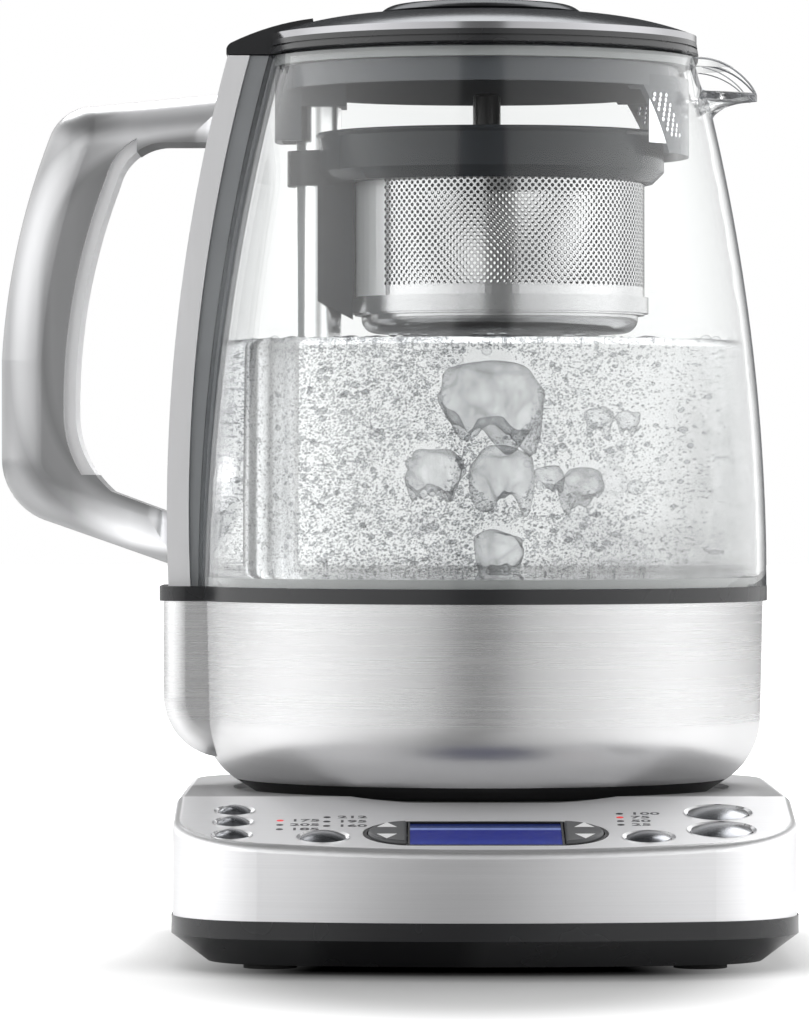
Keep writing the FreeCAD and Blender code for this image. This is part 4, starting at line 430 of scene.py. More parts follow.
STEEL = (0.72, 0.72, 0.725)
ROUND = (14.0, 14.0, 2600.0)
MATERIALS = {
    "bowl_steel": brushed_metal("bowl_steel", STEEL, 0.27, ROUND, smear=0.6, foot=0.22),
    "cover_steel": cover_metal("cover_steel", (0.73, 0.73, 0.74), 0.38),
    # The plain strip's copy of the sleeve steel is lighter, as painted light, and the inside's copy darker, as
    # painted shade
    "sleeve_steel": brushed_metal("sleeve_steel", (0.44, 0.44, 0.445), 0.14, ROUND, 0.000001),
    "sleeve_blank_painted_light": brushed_metal("sleeve_blank_painted_light", (0.95, 0.95, 0.955), 0.45, ROUND, 0.000001),
    "sleeve_inside_painted_shade": brushed_metal("sleeve_inside_painted_shade", (0.16, 0.16, 0.165), 0.25, ROUND, 0.000001),
    "hoop_steel": brushed_metal("hoop_steel", (0.42, 0.42, 0.425), 0.20, ROUND, 0.000001),
    "inner_steel": brushed_metal("inner_steel", (0.42, 0.42, 0.43), 0.3, (60.0, 60.0, 900.0), 0.000002),
    "handle_metal": handle_metal(),
    "column_metal": brushed_metal("column_metal", (0.90, 0.90, 0.91), 0.40, (900.0, 1200.0, 20.0), 0.000003),
    "strip_metal": brushed_metal("strip_metal", (0.94, 0.94, 0.95), 0.42, (900.0, 900.0, 30.0), 0.000002),
    "gauze": painted_glow_gauze(),
    "plate_steel": brushed_metal("plate_steel", (0.20, 0.20, 0.205), 0.5, (400.0, 400.0, 400.0), 0.00002,
                                 0.3),
    "post_steel": brushed_metal("post_steel", (0.98, 0.98, 0.985), 0.26, (300.0, 300.0, 40.0), 0.000001,
                                0.01),
    "chrome": brushed_metal("chrome", (0.86, 0.86, 0.87), 0.08, (90.0, 90.0, 90.0), 0.0000005, 0.01),
    "trim_steel": brushed_metal("trim_steel", (0.30, 0.30, 0.31), 0.14, ROUND, 0.000001),
    "smoked_chrome": brushed_metal("smoked_chrome", (0.15, 0.155, 0.165), 0.24, (300.0, 300.0, 300.0),
                                   0.0000008),
    "charcoal": moulded_plastic("charcoal", (0.013, 0.0135, 0.015), 0.26, 0.000002),
    "grey": moulded_plastic("grey", (0.064, 0.070, 0.080), 0.19, 0.0000004),
    "ring_grey": moulded_plastic("ring_grey", (0.012, 0.015, 0.019), 0.22, 0.0000004, shine=0.2),
    "gasket": moulded_plastic("gasket", (0.27, 0.28, 0.29), 0.36),
    "dome": lacquer("dome", (0.010, 0.0105, 0.0115), 0.11, 0.16),
    "knob": lacquer("knob", (0.008, 0.0082, 0.009), 0.05, 0.2),
    "black": moulded_plastic("black", (0.008, 0.008, 0.0085), 0.24, 0.000002, shine=0.2),
    "rocker": moulded_plastic("rocker", (0.055, 0.057, 0.06), 0.38),
    "rubber": moulded_plastic("rubber", (0.018, 0.018, 0.018), 0.7, 0.00003),
    "silicone": moulded_plastic("silicone", (0.35, 0.36, 0.36), 0.45, 0.00001),
    "white_print": moulded_plastic("white_print", (0.82, 0.82, 0.82), 0.5, 0.000002),
    "grey_print": moulded_plastic("grey_print", (0.06, 0.06, 0.065), 0.5, 0.000002),
    "board": moulded_plastic("board", (0.01, 0.10, 0.04), 0.35, 0.00002),
    "copper": brushed_metal("copper", (0.75, 0.48, 0.28), 0.22, (200.0, 200.0, 200.0), 0.000001),
    "magnet": brushed_metal("magnet", (0.22, 0.22, 0.24), 0.35, (400.0, 400.0, 400.0), 0.000003),
    # The rim colours of glass, water, drops and bubbles, and the glass's and water's dark outlines, are
    # painted shade of their edges
    "glass": clear("glass", (0.985, 0.993, 0.99), 1.38, (0.66, 0.68, 0.69), 3.0, 0.85),
    "water": clear("water", (0.63, 0.635, 0.64), 1.33, (0.60, 0.61, 0.62), 3.0, 0.4, haze_and_painted_light=WATER_HAZE_AND_PAINTED_LIGHT),
    "drop": clear("drop", (0.80, 0.81, 0.82), 1.33, (0.10, 0.11, 0.12), 1.5),
    "fine_bubble": clear("fine_bubble", (0.70, 0.71, 0.72), 1.0, (0.19, 0.195, 0.20), 1.5),
    "bubble": clear("bubble", (0.84, 0.845, 0.85), 1.0, (0.27, 0.275, 0.285), 1.15,
                    cloud=((210.0, 210.0, 60.0), 0.75)),
    "round_bubble": clear("round_bubble", (0.92, 0.925, 0.93), 1.0, (0.30, 0.305, 0.315), 2.0),
    "pale_bubble": clear("pale_bubble", (0.93, 0.93, 0.935), 1.0, (0.72, 0.725, 0.73), 1.6,
                         cloud=((120.0, 120.0, 60.0), 0.16)),
    "glass_edge_painted_shade": moulded_plastic("glass_edge_painted_shade", (0.26, 0.265, 0.28), 0.25, 0.0000004),
    "display": display_blue(),
    "lamps": lamp_lens(),
}
FINISH = {
    "bowl_steel": ["jug_bowl"],
    "cover_steel": ["base_cover"],
    "hoop_steel": ["basket_hoop", "basket_floor"],
    "inner_steel": ["heating_element", "temperature_probe", "basket_lid", "lift_screw"],
    "plate_steel": ["heater_plate"],
    "sleeve_steel": ["basket_sleeve"],
    "handle_metal": ["handle"],
    "column_metal": ["handle_column"],
    "strip_metal": ["handle_inner_cover"],
    "trim_steel": ["lid_trim_ring"],
    "post_steel": ["lift_post"],
    "chrome": ["key_surrounds", "handle_screws", "base_screws"],
    "smoked_chrome": ["auto_start_key", "keep_warm_key", "basket_key", "tea_type_key", "tea_strength_key",
                      "hot_water_key", "cancel_key"],
    "charcoal": ["base_tray", "jug_band", "lid_rim", "lift_motor"],
    "grey": ["lid_skirt", "spout_filter", "carriage_nut"],
    "ring_grey": ["basket_ring"],
    "gasket": ["column_gasket"],
    "dome": ["lid_dome"],
    "knob": ["lid_knob"],
    "black": ["basket_lid_post", "jug_base_cover", "jug_connector", "connector_hub",
              "display_frame", "lcd_module", "tact_switches"],
    "rocker": ["temperature_rocker", "time_rocker"],
    "rubber": ["rubber_feet", "cord_inlet"],
    "silicone": ["glass_seal", "post_seal", "lid_seal"],
    "board": ["control_board"],
    "copper": ["connector_rings"],
    "magnet": ["basket_magnet", "carriage_magnets"],
    "glass": ["jug_glass"],
    "display": ["display_window"],
    "lamps": ["indicator_lamps"],
}
for finish, names in FINISH.items():
    for name in names:
        for slot in NODES[name].material_slots:
            slot.material = MATERIALS[finish]


# ------------------------------------------------------------------------------------------------
# Pieces
# ------------------------------------------------------------------------------------------------
def piece(name, vertices, faces, material, body, smooth=True):
    """A new piece from points in mm in the frame."""
    mesh = bpy.data.meshes.new(name)
    mesh.from_pydata([Vector(point) * MM for point in vertices], [], faces)
    mesh.validate()
    made = bpy.data.objects.new(name, mesh)
    bpy.context.scene.collection.objects.link(made)
    made.data.materials.append(MATERIALS[material])
    mesh.polygons.foreach_set("use_smooth", [smooth] * len(mesh.polygons))
    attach(made, body)
    return made


def perforated_sleeve():
    """The basket's steel sleeve with its staggered round holes, in place of the plain tube. Points are given
    as (i, z), in half pitches round the sleeve and mm, and holes are where column plus row is even."""
    row_pitch = 1.0
    hole = 0.53
    last_column = 214
    last_row = 29
    first_row_z = 180.2
    columns = 272
    blank_step = 4
    half_pitch = 2 * math.pi * SLEEVE_RADIUS / columns
    start_turn = math.radians(218.4)
    points, found, faces = [], {}, []
    layers = (SLEEVE_RADIUS, SLEEVE_RADIUS - SLEEVE_WALL)

    def point(i, z, layer):
        key = (round((i % columns) * 1000), round(z * 1000), layer)
        if key not in found:
            turn = start_turn + 2 * math.pi * i / columns
            radius = layers[layer]
            found[key] = len(points)
            points.append(AXIS + Vector((BASKET_X + radius * math.cos(turn), radius * math.sin(turn), z)))
        return found[key]

    def level(j):
        return first_row_z + row_pitch * j

    def panel(ring):
        """One plain polygon of the sheet, on its outside and its inside."""
        faces.append([point(i, z, 0) for i, z in ring])
        faces.append([point(i, z, 1) for i, z in reversed(ring)])

    around = [(1, 0), (0.5, 0.5), (0, 1), (-0.5, 0.5), (-1, 0), (-0.5, -0.5), (0, -1), (0.5, -0.5)]
    for i in range(-1, last_column + 2):
        for j in range(-1, last_row + 2):
            if (i + j) % 2:
                continue
            edge_i = i in (-1, last_column + 1)
            edge_j = j in (-1, last_row + 1)
            ring = [(i + a, j + b) for a, b in around]
            if edge_i or edge_j:
                ring = [(a, b) for a, b in ring if -1 <= a <= last_column + 1 and -1 <= b <= last_row + 1]
                if edge_i and edge_j:
                    ring.append((i, j))
                middle_a = sum(a for a, b in ring) / len(ring)
                middle_b = sum(b for a, b in ring) / len(ring)
                ring.sort(key=lambda p: math.atan2(p[1] - middle_b, p[0] - middle_a))
                panel([(a, level(b)) for a, b in ring])
                continue
            turns = [math.atan2(b * row_pitch, a * half_pitch) for a, b in around]
            bore = [(i + hole * math.cos(t) / half_pitch, level(j) + hole * math.sin(t)) for t in turns]
            rim = [(a, level(b)) for a, b in ring]
            for k in range(len(around)):
                n = (k + 1) % len(around)
                panel([rim[k], rim[n], bore[n], bore[k]])
                faces.append([point(*bore[k], 0), point(*bore[n], 0), point(*bore[n], 1), point(*bore[k], 1)])
    foot_line = [-1] + list(range(0, last_column + 1, 2)) + [last_column + 1]
    top_line = [-1] + list(range(last_row % 2, last_column + 1, 2)) + [last_column + 1]
    blank_line = list(range(last_column + 1, columns, blank_step)) + [columns - 1]
    for line, low, high in ((foot_line, SLEEVE_FOOT, level(-1)), (top_line, level(last_row + 1), SLEEVE_TOP)):
        full = line + blank_line[1:]
        for a, b in zip(full, full[1:]):
            panel([(a, low), (b, low), (b, high), (a, high)])
            rim_z = low if low == SLEEVE_FOOT else high
            ends = [point(a, rim_z, 0), point(b, rim_z, 0), point(b, rim_z, 1), point(a, rim_z, 1)]
            faces.append(ends if rim_z == high else ends[::-1])
    side_rows = {*range(0, last_row + 1, 2), *range(last_column % 2, last_row + 1, 2)}
    side_line = sorted({-1, last_row + 1} | side_rows)
    for a, b in zip(blank_line, blank_line[1:]):
        for c, d in zip(side_line, side_line[1:]):
            panel([(a, level(c)), (b, level(c)), (b, level(d)), (a, level(d))])
    made = piece("basket_sleeve_perforated", points, faces, "sleeve_steel", "basket", False)
    for finish in ("sleeve_inside_painted_shade", "sleeve_blank_painted_light"):
        made.data.materials.append(MATERIALS[finish])
    blank_edge = (AXIS.x + BASKET_X + SLEEVE_RADIUS * math.cos(start_turn)) * MM
    # The inside faces take the darker copy, painted shade, and the plain strip's faces the lighter copy,
    # painted light
    for face in made.data.polygons:
        reach = [math.hypot(point.x - (AXIS.x + BASKET_X) * MM, point.y - AXIS.y * MM)
                 for point in (made.data.vertices[i].co for i in face.vertices)]
        inside = min(reach) < (SLEEVE_RADIUS - SLEEVE_WALL / 2) * MM
        face.material_index = 1 if inside else 2 * (face.center.x < blank_edge)
    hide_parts("basket_sleeve")


def inner_glass_radius(z):
    """Radius of the glass's inside at height z, in mm."""
    curve = GLASS_CURVE - GLASS_WALL
    return GLASS_FOOT_RADIUS - GLASS_WALL - (curve - math.sqrt(curve ** 2 - (z - GLASS_FOOT_Z) ** 2))


def water():
    """Boiling water up to its mark, a hair clear of the glass and the floor."""
    around, levels, rings = 144, 30, 26
    clear_way = 0.06
    calm_edge = 8.0
    long_wave, long_height, short_wave, short_height = 11.0, 1.7, 4.5, 1.0
    short_shift = Vector((5, 3, 1))
    profile = [(PLATE_RADIUS - clear_way, z + clear_way) for z in (PLATE_TOP, SEAL_TOP)]
    for k in range(levels + 1):
        z = SEAL_TOP + clear_way + 0.01 + (WATER_TOP - SEAL_TOP - clear_way) * k / levels
        profile.append((inner_glass_radius(z) - clear_way, z))
    points, faces = [], []
    for radius, z in profile:
        for i in range(around):
            turn = 2 * math.pi * i / around
            points.append(AXIS + Vector((radius * math.cos(turn), radius * math.sin(turn), z)))
    edge = profile[-1][0]
    for k in range(1, rings):
        radius = edge * (1 - k / rings)
        for i in range(around):
            turn = 2 * math.pi * i / around
            at = Vector((radius * math.cos(turn), radius * math.sin(turn), 0))
            calm = min(1.0, (edge - radius) / calm_edge)
            wave = (noise.noise(at / long_wave) * long_height
                    + noise.noise(at / short_wave + short_shift) * short_height)
            points.append(AXIS + at + Vector((0, 0, WATER_TOP + wave * calm)))
    rows = len(profile) + rings - 1
    for k in range(rows - 1):
        for i in range(around):
            n = (i + 1) % around
            faces.append((k * around + i, k * around + n, (k + 1) * around + n, (k + 1) * around + i))
    points.append(AXIS + Vector((0, 0, WATER_TOP)))
    points.append(AXIS + Vector((0, 0, PLATE_TOP + clear_way)))
    top, foot = len(points) - 2, len(points) - 1
    for i in range(around):
        n = (i + 1) % around
        faces.append(((rows - 1) * around + i, (rows - 1) * around + n, top))
        faces.append((n, i, foot))
    piece("boiling_water", points, faces, "water", "jug")


def ball(finer):
    """The points and faces of a ball with a radius of 1."""
    mesh = bmesh.new()
    bmesh.ops.create_icosphere(mesh, subdivisions=finer, radius=1.0)
    mesh.verts.ensure_lookup_table()
    points = [vertex.co.copy() for vertex in mesh.verts]
    faces = [[vertex.index for vertex in face.verts] for face in mesh.faces]
    mesh.free()
    return points, faces


def bubbles(name, places, finer, material="fine_bubble", wobble=0.0, skirt=0.0, body="jug"):
    """Bubbles in the water. places are (x, y, z, radius, height's share) from the jug's axis, in mm. wobble
    makes them uneven, and skirt hollows them from below and draws their lower edge out, most at the sides."""
    shape, shape_faces = ball(finer)
    hollow, narrowing = 0.4, 0.18
    middle_share, side_share = 0.35, 0.65
    even_share, uneven_share = 0.6, 2.1
    lowest = PLATE_TOP + 0.6
    points, faces = [], []
    for x, y, z, radius, tall in places:
        first = len(points)
        centre = AXIS + Vector((x, y, z))
        for at in shape:
            swell = 1.0 + wobble * noise.noise(at * 1.4 + centre * 0.31)
            wide, high = swell, swell * tall
            if at.z < 0 and skirt:
                turned = Vector((at.x * 1.9, at.y * 1.9, 0)) + centre * 0.37
                uneven = even_share + uneven_share * noise.noise(turned)
                drawn = (middle_share + side_share * at.x ** 2) * uneven
                high *= (1.0 + skirt * max(0.0, drawn)) * (1.0 - hollow * at.z ** 6)
                wide *= 1.0 + narrowing * at.z
            placed = centre + Vector((at.x * radius * wide, at.y * radius * wide, at.z * radius * high))
            placed.z = max(placed.z, lowest)
            points.append(placed)
        faces += [[first + i for i in face] for face in shape_faces]
    piece(name, points, faces, material, body)


def near_post(x, y):
    """True in the room that the bubbles leave round the lift post."""
    return (x - POST_X) ** 2 + y ** 2 < POST_CLEARANCE ** 2


def water_bubbles():
    """Fine bubbles all through the water and fewer to the right, the large ones that rise in the middle, and
    foam at the water's edge."""
    chance = random.Random(7)
    fine_count, fine_share, fine_sizes, larger_fine = 25500, 0.98, (0.10, 0.31), (0.4, 0.9)
    foam_count, foam_share, foam_sizes, larger_foam = 520, 0.93, (0.25, 0.9), (1.0, 1.8)
    foam_depth, foam_heights, foam_width, foam_gap = 0.6, (-1.0, 0.8), 9.0, 0.4
    thinning_start, thinning_way = 2.0, 52.0
    clear_way, top_way = 1.5, 2.0
    large = [
        (1.6, -38, 149.0, 11.8, 0.72), (-11.5, -38, 129.0, 7.2, 0.84), (4.8, -38, 128.4, 7.8, 0.82),
        (3.8, -40, 108.5, 6.2, 0.75), (23.6, -38, 125.5, 5.6, 0.72), (15.4, -30, 127.5, 3.6, 0.8),
        (27.6, -38, 143, 3.6, 0.8), (34.6, -36, 142.4, 3.1, 0.8),
    ]
    pale = [
        (-9.0, -40, 158.6, 4.6, 0.7), (24.0, -36, 113.5, 5.4, 0.9), (33.0, -32, 106.8, 6.0, 0.7),
        (-9.0, -38, 106.0, 5.0, 0.8), (30.0, -36, 126.0, 4.4, 0.9), (13.5, -40, 139.0, 3.4, 1.0),
        (31.0, -38, 133.0, 2.6, 1.0), (-14.0, -40, 115.0, 3.6, 0.8),
    ]

    def hidden(x, z):
        """True where a large bubble covers it or is covered by it, as seen from the front."""
        return any((x - bx) ** 2 + ((z - bz) / 1.1) ** 2 < (0.92 * radius) ** 2
                   for bx, _, bz, radius, _ in large)

    small = []
    while len(small) < fine_count:
        z = chance.uniform(PLATE_TOP + clear_way, WATER_TOP - top_way)
        limit = inner_glass_radius(z) - clear_way
        turn = chance.uniform(0, 2 * math.pi)
        radius = limit * math.sqrt(chance.random())
        x, y = radius * math.cos(turn), radius * math.sin(turn)
        kept = 1.0 - max(0.0, x - thinning_start) / thinning_way
        if near_post(x, y) or chance.random() > kept or hidden(x, z):
            continue
        size = chance.uniform(*(fine_sizes if chance.random() < fine_share else larger_fine))
        small.append((x, y, z, size, 1.0))
    for part in range(3):
        bubbles(f"fine_bubbles_{part + 1}", small[part::3], 1)
    bubbles("large_bubbles", large, 4, "bubble", 0.36, 1.6)
    round_ones = [
        (15.4, -40, 150.2, 1.3, 1.0), (22.9, -40, 149.7, 1.1, 1.0), (18.6, -38, 135.0, 1.3, 1.0),
        (33.0, -38, 135.6, 1.4, 1.0), (35.9, -38, 135.6, 1.0, 1.0), (10.4, -38, 130.7, 1.0, 1.0),
        (-23.0, -40, 155.7, 1.1, 1.0), (-18.8, -40, 141.7, 1.2, 1.0), (-19.0, -40, 153.2, 1.1, 1.0),
        (-25.0, -36, 160.0, 1.5, 0.9), (0.8, -44, 160.6, 1.3, 1.0), (36.2, -34, 124.6, 2.3, 0.9),
        (40.0, -34, 121.3, 0.9, 1.0), (42.7, -30, 132.3, 0.9, 1.0), (36.0, -34, 117.2, 0.8, 1.0),
        (26.0, -36, 155.4, 1.2, 1.0), (-30.0, -36, 131.0, 1.0, 1.0), (-9.0, -40, 144.0, 0.9, 1.0),
    ]
    bubbles("round_bubbles", round_ones, 3, "round_bubble")
    foam = []
    for _ in range(foam_count):
        turn = math.radians(chance.uniform(0, 360))
        size = chance.uniform(*(foam_sizes if chance.random() < foam_share else larger_foam))
        z = WATER_TOP - foam_depth + chance.uniform(*foam_heights)
        radius = inner_glass_radius(z) - foam_gap - size - foam_width * chance.random() ** 2
        x, y = radius * math.cos(turn), radius * math.sin(turn)
        if not near_post(x, y):
            foam.append((x, y, z, size, 0.8))
    bubbles("foam", foam, 2, "round_bubble")
    bubbles("pale_bubbles", pale, 4, "pale_bubble", 0.5, 0.6)


def hanging_drops():
    """Drops under the basket's floor."""
    drops = [(-20.4, -30, 166.3, 1.1, 0.7), (-24.0, -27, 166.4, 1.4, 0.5), (-15.6, -31, 166.2, 0.9, 0.7),
             (2.0, -36, 166.3, 1.2, 0.5), (5.4, -36, 166.4, 1.0, 0.5), (-1.8, -36, 166.4, 0.9, 0.6),
             (23.2, -30, 166.0, 1.7, 0.7), (26.4, -29, 166.3, 1.2, 0.6)]
    bubbles("hanging_drops", drops, 3, "drop", body="basket")


def filter_mesh():
    """Steel gauze with a painted glow behind the holes of the spout filter."""
    points, faces = [], []
    count = 24
    filter_x = 12.2
    radii, heights = (44.94, 44.8), (218.0, 232.6)
    start_angle, angle_way = 18.0, 26.0
    for side in (-1, 1):
        start = len(points)
        for k in range(count + 1):
            turn = side * math.radians(start_angle + angle_way * k / count)
            for radius in radii:
                for z in heights:
                    at = Vector((filter_x + radius * math.cos(turn), radius * math.sin(turn), z))
                    points.append(AXIS + at)
        for k in range(count):
            a, b = start + 4 * k, start + 4 * k + 4
            faces += [(a, b, b + 1, a + 1), (a + 2, a + 3, b + 3, b + 2), (a + 1, b + 1, b + 3, a + 3),
                      (a, a + 2, b + 2, b)]
        faces += [(start, start + 1, start + 3, start + 2),
                  (start + 4 * count, start + 4 * count + 2, start + 4 * count + 3, start + 4 * count + 1)]
    piece("filter_mesh", points, faces, "gauze", "lid")


def bead(name, path, radius, material, body):
    """A thin round bead along a path in mm, with rounded-off ends."""
    sides, end_share = 8, 0.3
    points, faces = [], []
    for k, at in enumerate(path):
        ahead = path[min(k + 1, len(path) - 1)] - path[max(k - 1, 0)]
        turned = ahead.to_track_quat("Z", "Y")
        wide = radius * (end_share if k in (0, len(path) - 1) else 1.0)
        for i in range(sides):
            turn = 2 * math.pi * i / sides
            points.append(at + turned @ Vector((wide * math.cos(turn), wide * math.sin(turn), 0)))
    for k in range(len(path) - 1):
        for i in range(sides):
            n = (i + 1) % sides
            faces.append((k * sides + i, k * sides + n, (k + 1) * sides + n, (k + 1) * sides + i))
    faces.append(list(range(sides))[::-1])
    faces.append([(len(path) - 1) * sides + i for i in range(sides)])
    piece(name, points, faces, material, body)


def spout_edge():
    """The fire-polished edge of the spout: a bead along the outside of its rim and one below it, inside,
    whose opaque grey is painted shade of the glass's edge.
    """
    span = math.hypot(SPOUT_REACH - SPOUT_CREST_X, GLASS_RIM_Z - SPOUT_TIP_Z)
    lean = math.atan2(SPOUT_TIP_Z - GLASS_RIM_Z, SPOUT_REACH - SPOUT_CREST_X)
    middle = Vector(((SPOUT_REACH + SPOUT_CREST_X) / 2, (GLASS_RIM_Z + SPOUT_TIP_Z) / 2))
    drop = math.sqrt(SPOUT_CREST ** 2 - (span / 2) ** 2)
    centre = middle + drop * Vector((math.sin(lean), -math.cos(lean)))

    def crest(x):
        return min(GLASS_RIM_Z, centre.y + math.sqrt(SPOUT_CREST ** 2 - (x - centre.x) ** 2))

    middle_x = SPOUT_REACH - SPOUT_TIP_RADIUS
    round_start = math.pi / 2 - SPOUT_SLANT
    steps = 14
    for name, inset, below, start, radius in SPOUT_BEADS:
        tip = SPOUT_TIP_RADIUS - inset
        side = []
        corner = Vector((middle_x + tip * math.sin(SPOUT_SLANT), tip * math.cos(SPOUT_SLANT)))
        for k in range(steps):
            x = start + (corner.x - start) * k / steps
            side.append(Vector((x, corner.y + (corner.x - x) * math.tan(SPOUT_SLANT))))
        for k in range(steps + 1):
            turn = round_start * (1 - k / steps)
            side.append(Vector((middle_x + tip * math.cos(turn), tip * math.sin(turn))))
        path = [AXIS + Vector((at.x, -at.y, crest(at.x + inset) - below)) for at in side]
        path += [AXIS + Vector((at.x, at.y, crest(at.x + inset) - below)) for at in reversed(side[:-1])]
        bead(name, path, radius, "glass_edge_painted_shade", "jug")


def flat_print(name, outlines, material, body, off):
    """Thin printed marks on the panel. outlines are lists of (x, slope) corners."""
    thick = 0.03
    points, faces = [], []
    for ring in outlines:
        first, count = len(points), len(ring)
        for height in (off, off + thick):
            points += [panel_point(x, slope, height) / MM for x, slope in ring]
        faces.append([first + count + i for i in range(count)])
        faces.append([first + i for i in reversed(range(count))])
        faces += [[first + i, first + (i + 1) % count, first + count + (i + 1) % count, first + count + i]
                  for i in range(count)]
    return piece(name, points, faces, material, body, False)


def rocker_marks():
    """The white arrow heads on the two rockers."""
    rocker_x, half, tall = 25.6, 2.6, 5.0
    up_foot, down_foot, off = 37.6, 45.0, 0.81
    for side, body in ((-1, "temperature_rocker"), (1, "time_rocker")):
        x = side * rocker_x
        up = [(x - half, up_foot), (x + half, up_foot), (x, up_foot - tall)]
        down = [(x + half, down_foot), (x - half, down_foot), (x, down_foot + tall)]
        made = flat_print(f"{body}_arrows", [up, down], "white_print", body, off)


def numerals():
    """Plain numbers beside the indicator lamps."""
    height, bolder, thick, wider, off = 3.5 * MM, 0.06 * MM, 0.02 * MM, 1.5, 0.03
    rows = [("left_lamp_numbers", -50.9, 27.2, 4.8, ("175", "205", "185")),
            ("middle_lamp_numbers", -38.6, 23.5, 4.8, ("212", "195", "160")),
            ("right_lamp_numbers", 38.0, 19.6, 4.1, ("100", "75", "50", "25"))]
    for name, x, slope, pitch, numbers in rows:
        made = []
        for k, digit in enumerate(numbers):
            curve = bpy.data.curves.new(f"{name}_{digit}", "FONT")
            curve.body = digit
            curve.size = height
            curve.offset = bolder
            curve.extrude = thick
            curve.align_y = "CENTER"
            text = bpy.data.objects.new(f"{name}_{digit}", curve)
            bpy.context.scene.collection.objects.link(text)
            text.matrix_world = (Matrix.Translation(panel_point(x, slope + pitch * k, off))
                                 @ Matrix.Rotation(PANEL_ANGLE, 4, "X")
                                 @ Matrix.Diagonal((wider, 1.0, 1.0, 1.0)))
            made.append(text)
        bpy.context.view_layer.update()
        graph = bpy.context.evaluated_depsgraph_get()
        mesh = bmesh.new()
        for text in made:
            part = bpy.data.meshes.new_from_object(text.evaluated_get(graph))
            part.transform(text.matrix_world)
            mesh.from_mesh(part)
            bpy.data.meshes.remove(part)
            bpy.data.objects.remove(text)
        whole = bpy.data.meshes.new(name)
        mesh.to_mesh(whole)
        mesh.free()
        shown = bpy.data.objects.new(name, whole)
        bpy.context.scene.collection.objects.link(shown)
        whole.materials.append(MATERIALS["grey_print"])
        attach(shown, "base")


perforated_sleeve()
water()
water_bubbles()
hanging_drops()
filter_mesh()
spout_edge()
rocker_marks()
numerals()


# ------------------------------------------------------------------------------------------------
# Floor, light and camera
# ------------------------------------------------------------------------------------------------
# How bright the studio is in each direction round the object: behind it at 0, either side at 0.5, and
# towards the camera at 1. What the object mirrors and what shows through its glass are lit apart.
MIRRORED = [(0.0, 0.10), (0.015, 0.16), (0.05, 0.55), (0.14, 0.68), (0.28, 0.74), (0.40, 0.92),
            (0.52, 1.0), (0.63, 1.0), (0.75, 0.92), (0.85, 0.78), (0.92, 0.68), (0.965, 0.60),
            (0.986, 0.54), (0.991, 0.20), (1.0, 0.15)]
THROUGH = [(0.0, 0.95), (0.04, 0.92), (0.12, 0.62), (0.25, 0.30), (0.45, 0.14), (1.0, 0.08)]
STUDIO_LIGHT = 2.45
# The studio dims between these heights of the direction, to this share
DIMMING = (0.30, 0.75)
OVERHEAD = 0.22
FLOOR_HALF = 9.0
FLOOR_MIRRORED = 0.72
FLOOR_PAPER = (0.44, 0.46)
# How far and how steeply the floor's painted contact shadow darkens it near the object
CONTACT_SHADOW_REACH = 0.024
CONTACT_SHADOW_POWER = 1.4
# The floor's own glow: all round, far from the object, and outside an ellipse, which leaves a painted shadow
# in front
FAR_GLOW_WAY = (0.2, 0.8)
FAR_GLOW = 0.5
SHADOW_CENTRE = (0.021, -0.10, 0.0)
SHADOW_RADII = (0.082, 0.15)
SHADOW_EDGE = (0.25, 1.05)
NEAR_GLOW = 0.47
SOFTBOX_AIM = (0.02, 0.0, 0.0)
SOFTBOX_SIZE = (1.8, 0.9)
CAMERA_PLACE = (0.00371, -1.650, 0.123)
CAMERA_LENS = 213.0
CAMERA_SENSOR = 36.0
CAMERA_SHIFT = -17 / 1024


def studio_tone(g, stops):
    """The brightness in the direction round the object, from stops of place and brightness."""
    flat = g.vector("NORMALIZE", g.vector("MULTIPLY", g.place, (1.0, 1.0, 0.0)))
    around = g.spread(g.axis("Y", flat), 1.0, -1.0)
    return g.ramp(around, [(at, (value, value, value)) for at, value in stops])


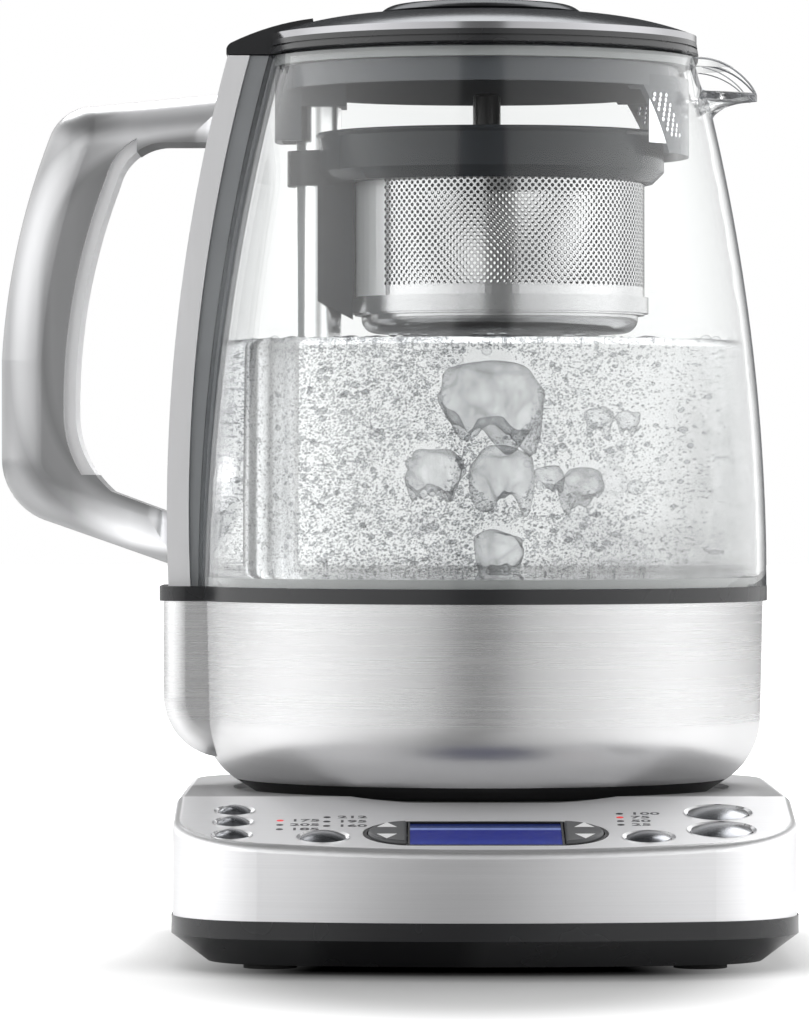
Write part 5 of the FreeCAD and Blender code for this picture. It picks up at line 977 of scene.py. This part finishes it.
def floor():
    """A pale floor, lit until it is as white as the backdrop, with painted contact shadows round the object
    and a shadow in front, cast by the softboxes and deepened by a painted shadow where its glow is left out.
    What mirrors it sees it dimmer in front.
    """
    mesh = bpy.data.meshes.new("floor")
    corners = [(-FLOOR_HALF, -FLOOR_HALF, 0), (FLOOR_HALF, -FLOOR_HALF, 0),
               (FLOOR_HALF, FLOOR_HALF, 0), (-FLOOR_HALF, FLOOR_HALF, 0)]
    mesh.from_pydata(corners, [], [(0, 1, 2, 3)])
    made = bpy.data.objects.new("floor", mesh)
    bpy.context.scene.collection.objects.link(made)
    g = Graph("floor_paper")
    seen = g.seen_straight()[2]
    mirrored = studio_tone(g, [(at, value * FLOOR_MIRRORED) for at, value in MIRRORED])
    # painted shade: ambient occlusion darkens the floor's colour near the object
    near = g.node("ShaderNodeAmbientOcclusion", {"Distance": CONTACT_SHADOW_REACH}, samples=8).outputs["AO"]
    cloud = g.noise(g.place, 3.0, 2.0)
    paper = g.math("MULTIPLY", g.ranged(cloud, *FLOOR_PAPER), g.math("POWER", near, CONTACT_SHADOW_POWER))
    matt = g.node("ShaderNodeBsdfDiffuse", {"Color": g.tint(seen, mirrored, paper)}).outputs["BSDF"]
    apart = g.node("ShaderNodeVectorMath", {0: g.place}, operation="LENGTH").outputs["Value"]
    far = g.spread(apart, *FAR_GLOW_WAY, 0.0, FAR_GLOW)
    # the ellipse without glow is a painted shadow in front of the object
    scaled = g.vector("MULTIPLY", g.vector("SUBTRACT", g.place, SHADOW_CENTRE),
                      (1 / SHADOW_RADII[0], 1 / SHADOW_RADII[1], 0.0))
    off = g.node("ShaderNodeVectorMath", {0: scaled, 1: scaled}, operation="DOT_PRODUCT").outputs["Value"]
    beside = g.spread(off, *SHADOW_EDGE, 0.0, NEAR_GLOW, "SMOOTHSTEP")
    strength = g.math("MULTIPLY", g.math("ADD", far, beside), seen)
    glow = g.node("ShaderNodeEmission", {"Strength": strength}).outputs["Emission"]
    made.data.materials.append(g.show(g.node("ShaderNodeAddShader", {0: matt, 1: glow}).outputs["Shader"]))
    return made


def studio():
    """A white backdrop, soft light from both sides and dimness round the camera."""
    g = Graph("studio", world=True)
    bpy.context.scene.world = g.owner
    fade = g.spread(g.axis("Z"), *DIMMING, STUDIO_LIGHT, STUDIO_LIGHT * OVERHEAD)
    mirrored, through, plain = [
        g.node("ShaderNodeBackground", {"Color": colour, "Strength": strength}).outputs["Background"]
        for colour, strength in ((studio_tone(g, MIRRORED), fade), (studio_tone(g, THROUGH), 1.0),
                                 ((1.0, 1.0, 1.0), 1.0))]
    camera_ray, through_ray, _ = g.seen_straight()
    g.show(g.mixed(camera_ray, g.mixed(through_ray, mirrored, through), plain))


def softbox(name, at, power, only=None):
    """A soft lamp behind the object. only is the one thing that it lights."""
    lamp = bpy.data.lights.new(name, "AREA")
    lamp.shape = "RECTANGLE"
    lamp.size, lamp.size_y = SOFTBOX_SIZE
    lamp.energy = power
    made = bpy.data.objects.new(name, lamp)
    bpy.context.scene.collection.objects.link(made)
    made.location = at
    made.rotation_euler = (Vector(SOFTBOX_AIM) - Vector(at)).to_track_quat("-Z", "Y").to_euler()
    if only:
        lit = bpy.data.collections.new(f"{name}_lights")
        lit.objects.link(only)
        made.light_linking.receiver_collection = lit


def camera():
    """The camera at the photo's viewing angle, level and in front."""
    lens = bpy.data.cameras.new("camera")
    lens.lens = CAMERA_LENS
    lens.sensor_width = CAMERA_SENSOR
    lens.shift_y = CAMERA_SHIFT
    lens.clip_start = 0.1
    lens.clip_end = 60.0
    made = bpy.data.objects.new("camera", lens)
    bpy.context.scene.collection.objects.link(made)
    made.location = CAMERA_PLACE
    made.rotation_euler = (math.pi / 2, 0, 0)
    bpy.context.scene.camera = made


ground = floor()
studio()
softbox("rear_softbox", (0.0, 1.0, 1.3), 32.0)
softbox("floor_softbox", (0.0, 1.0, 1.1), 26.0, ground)
camera()

scene = bpy.context.scene
scene.view_settings.view_transform = "Standard"
scene.cycles.max_bounces = 28
scene.cycles.transmission_bounces = 24
scene.cycles.transparent_max_bounces = 24
scene.cycles.glossy_bounces = 6
scene.cycles.diffuse_bounces = 3
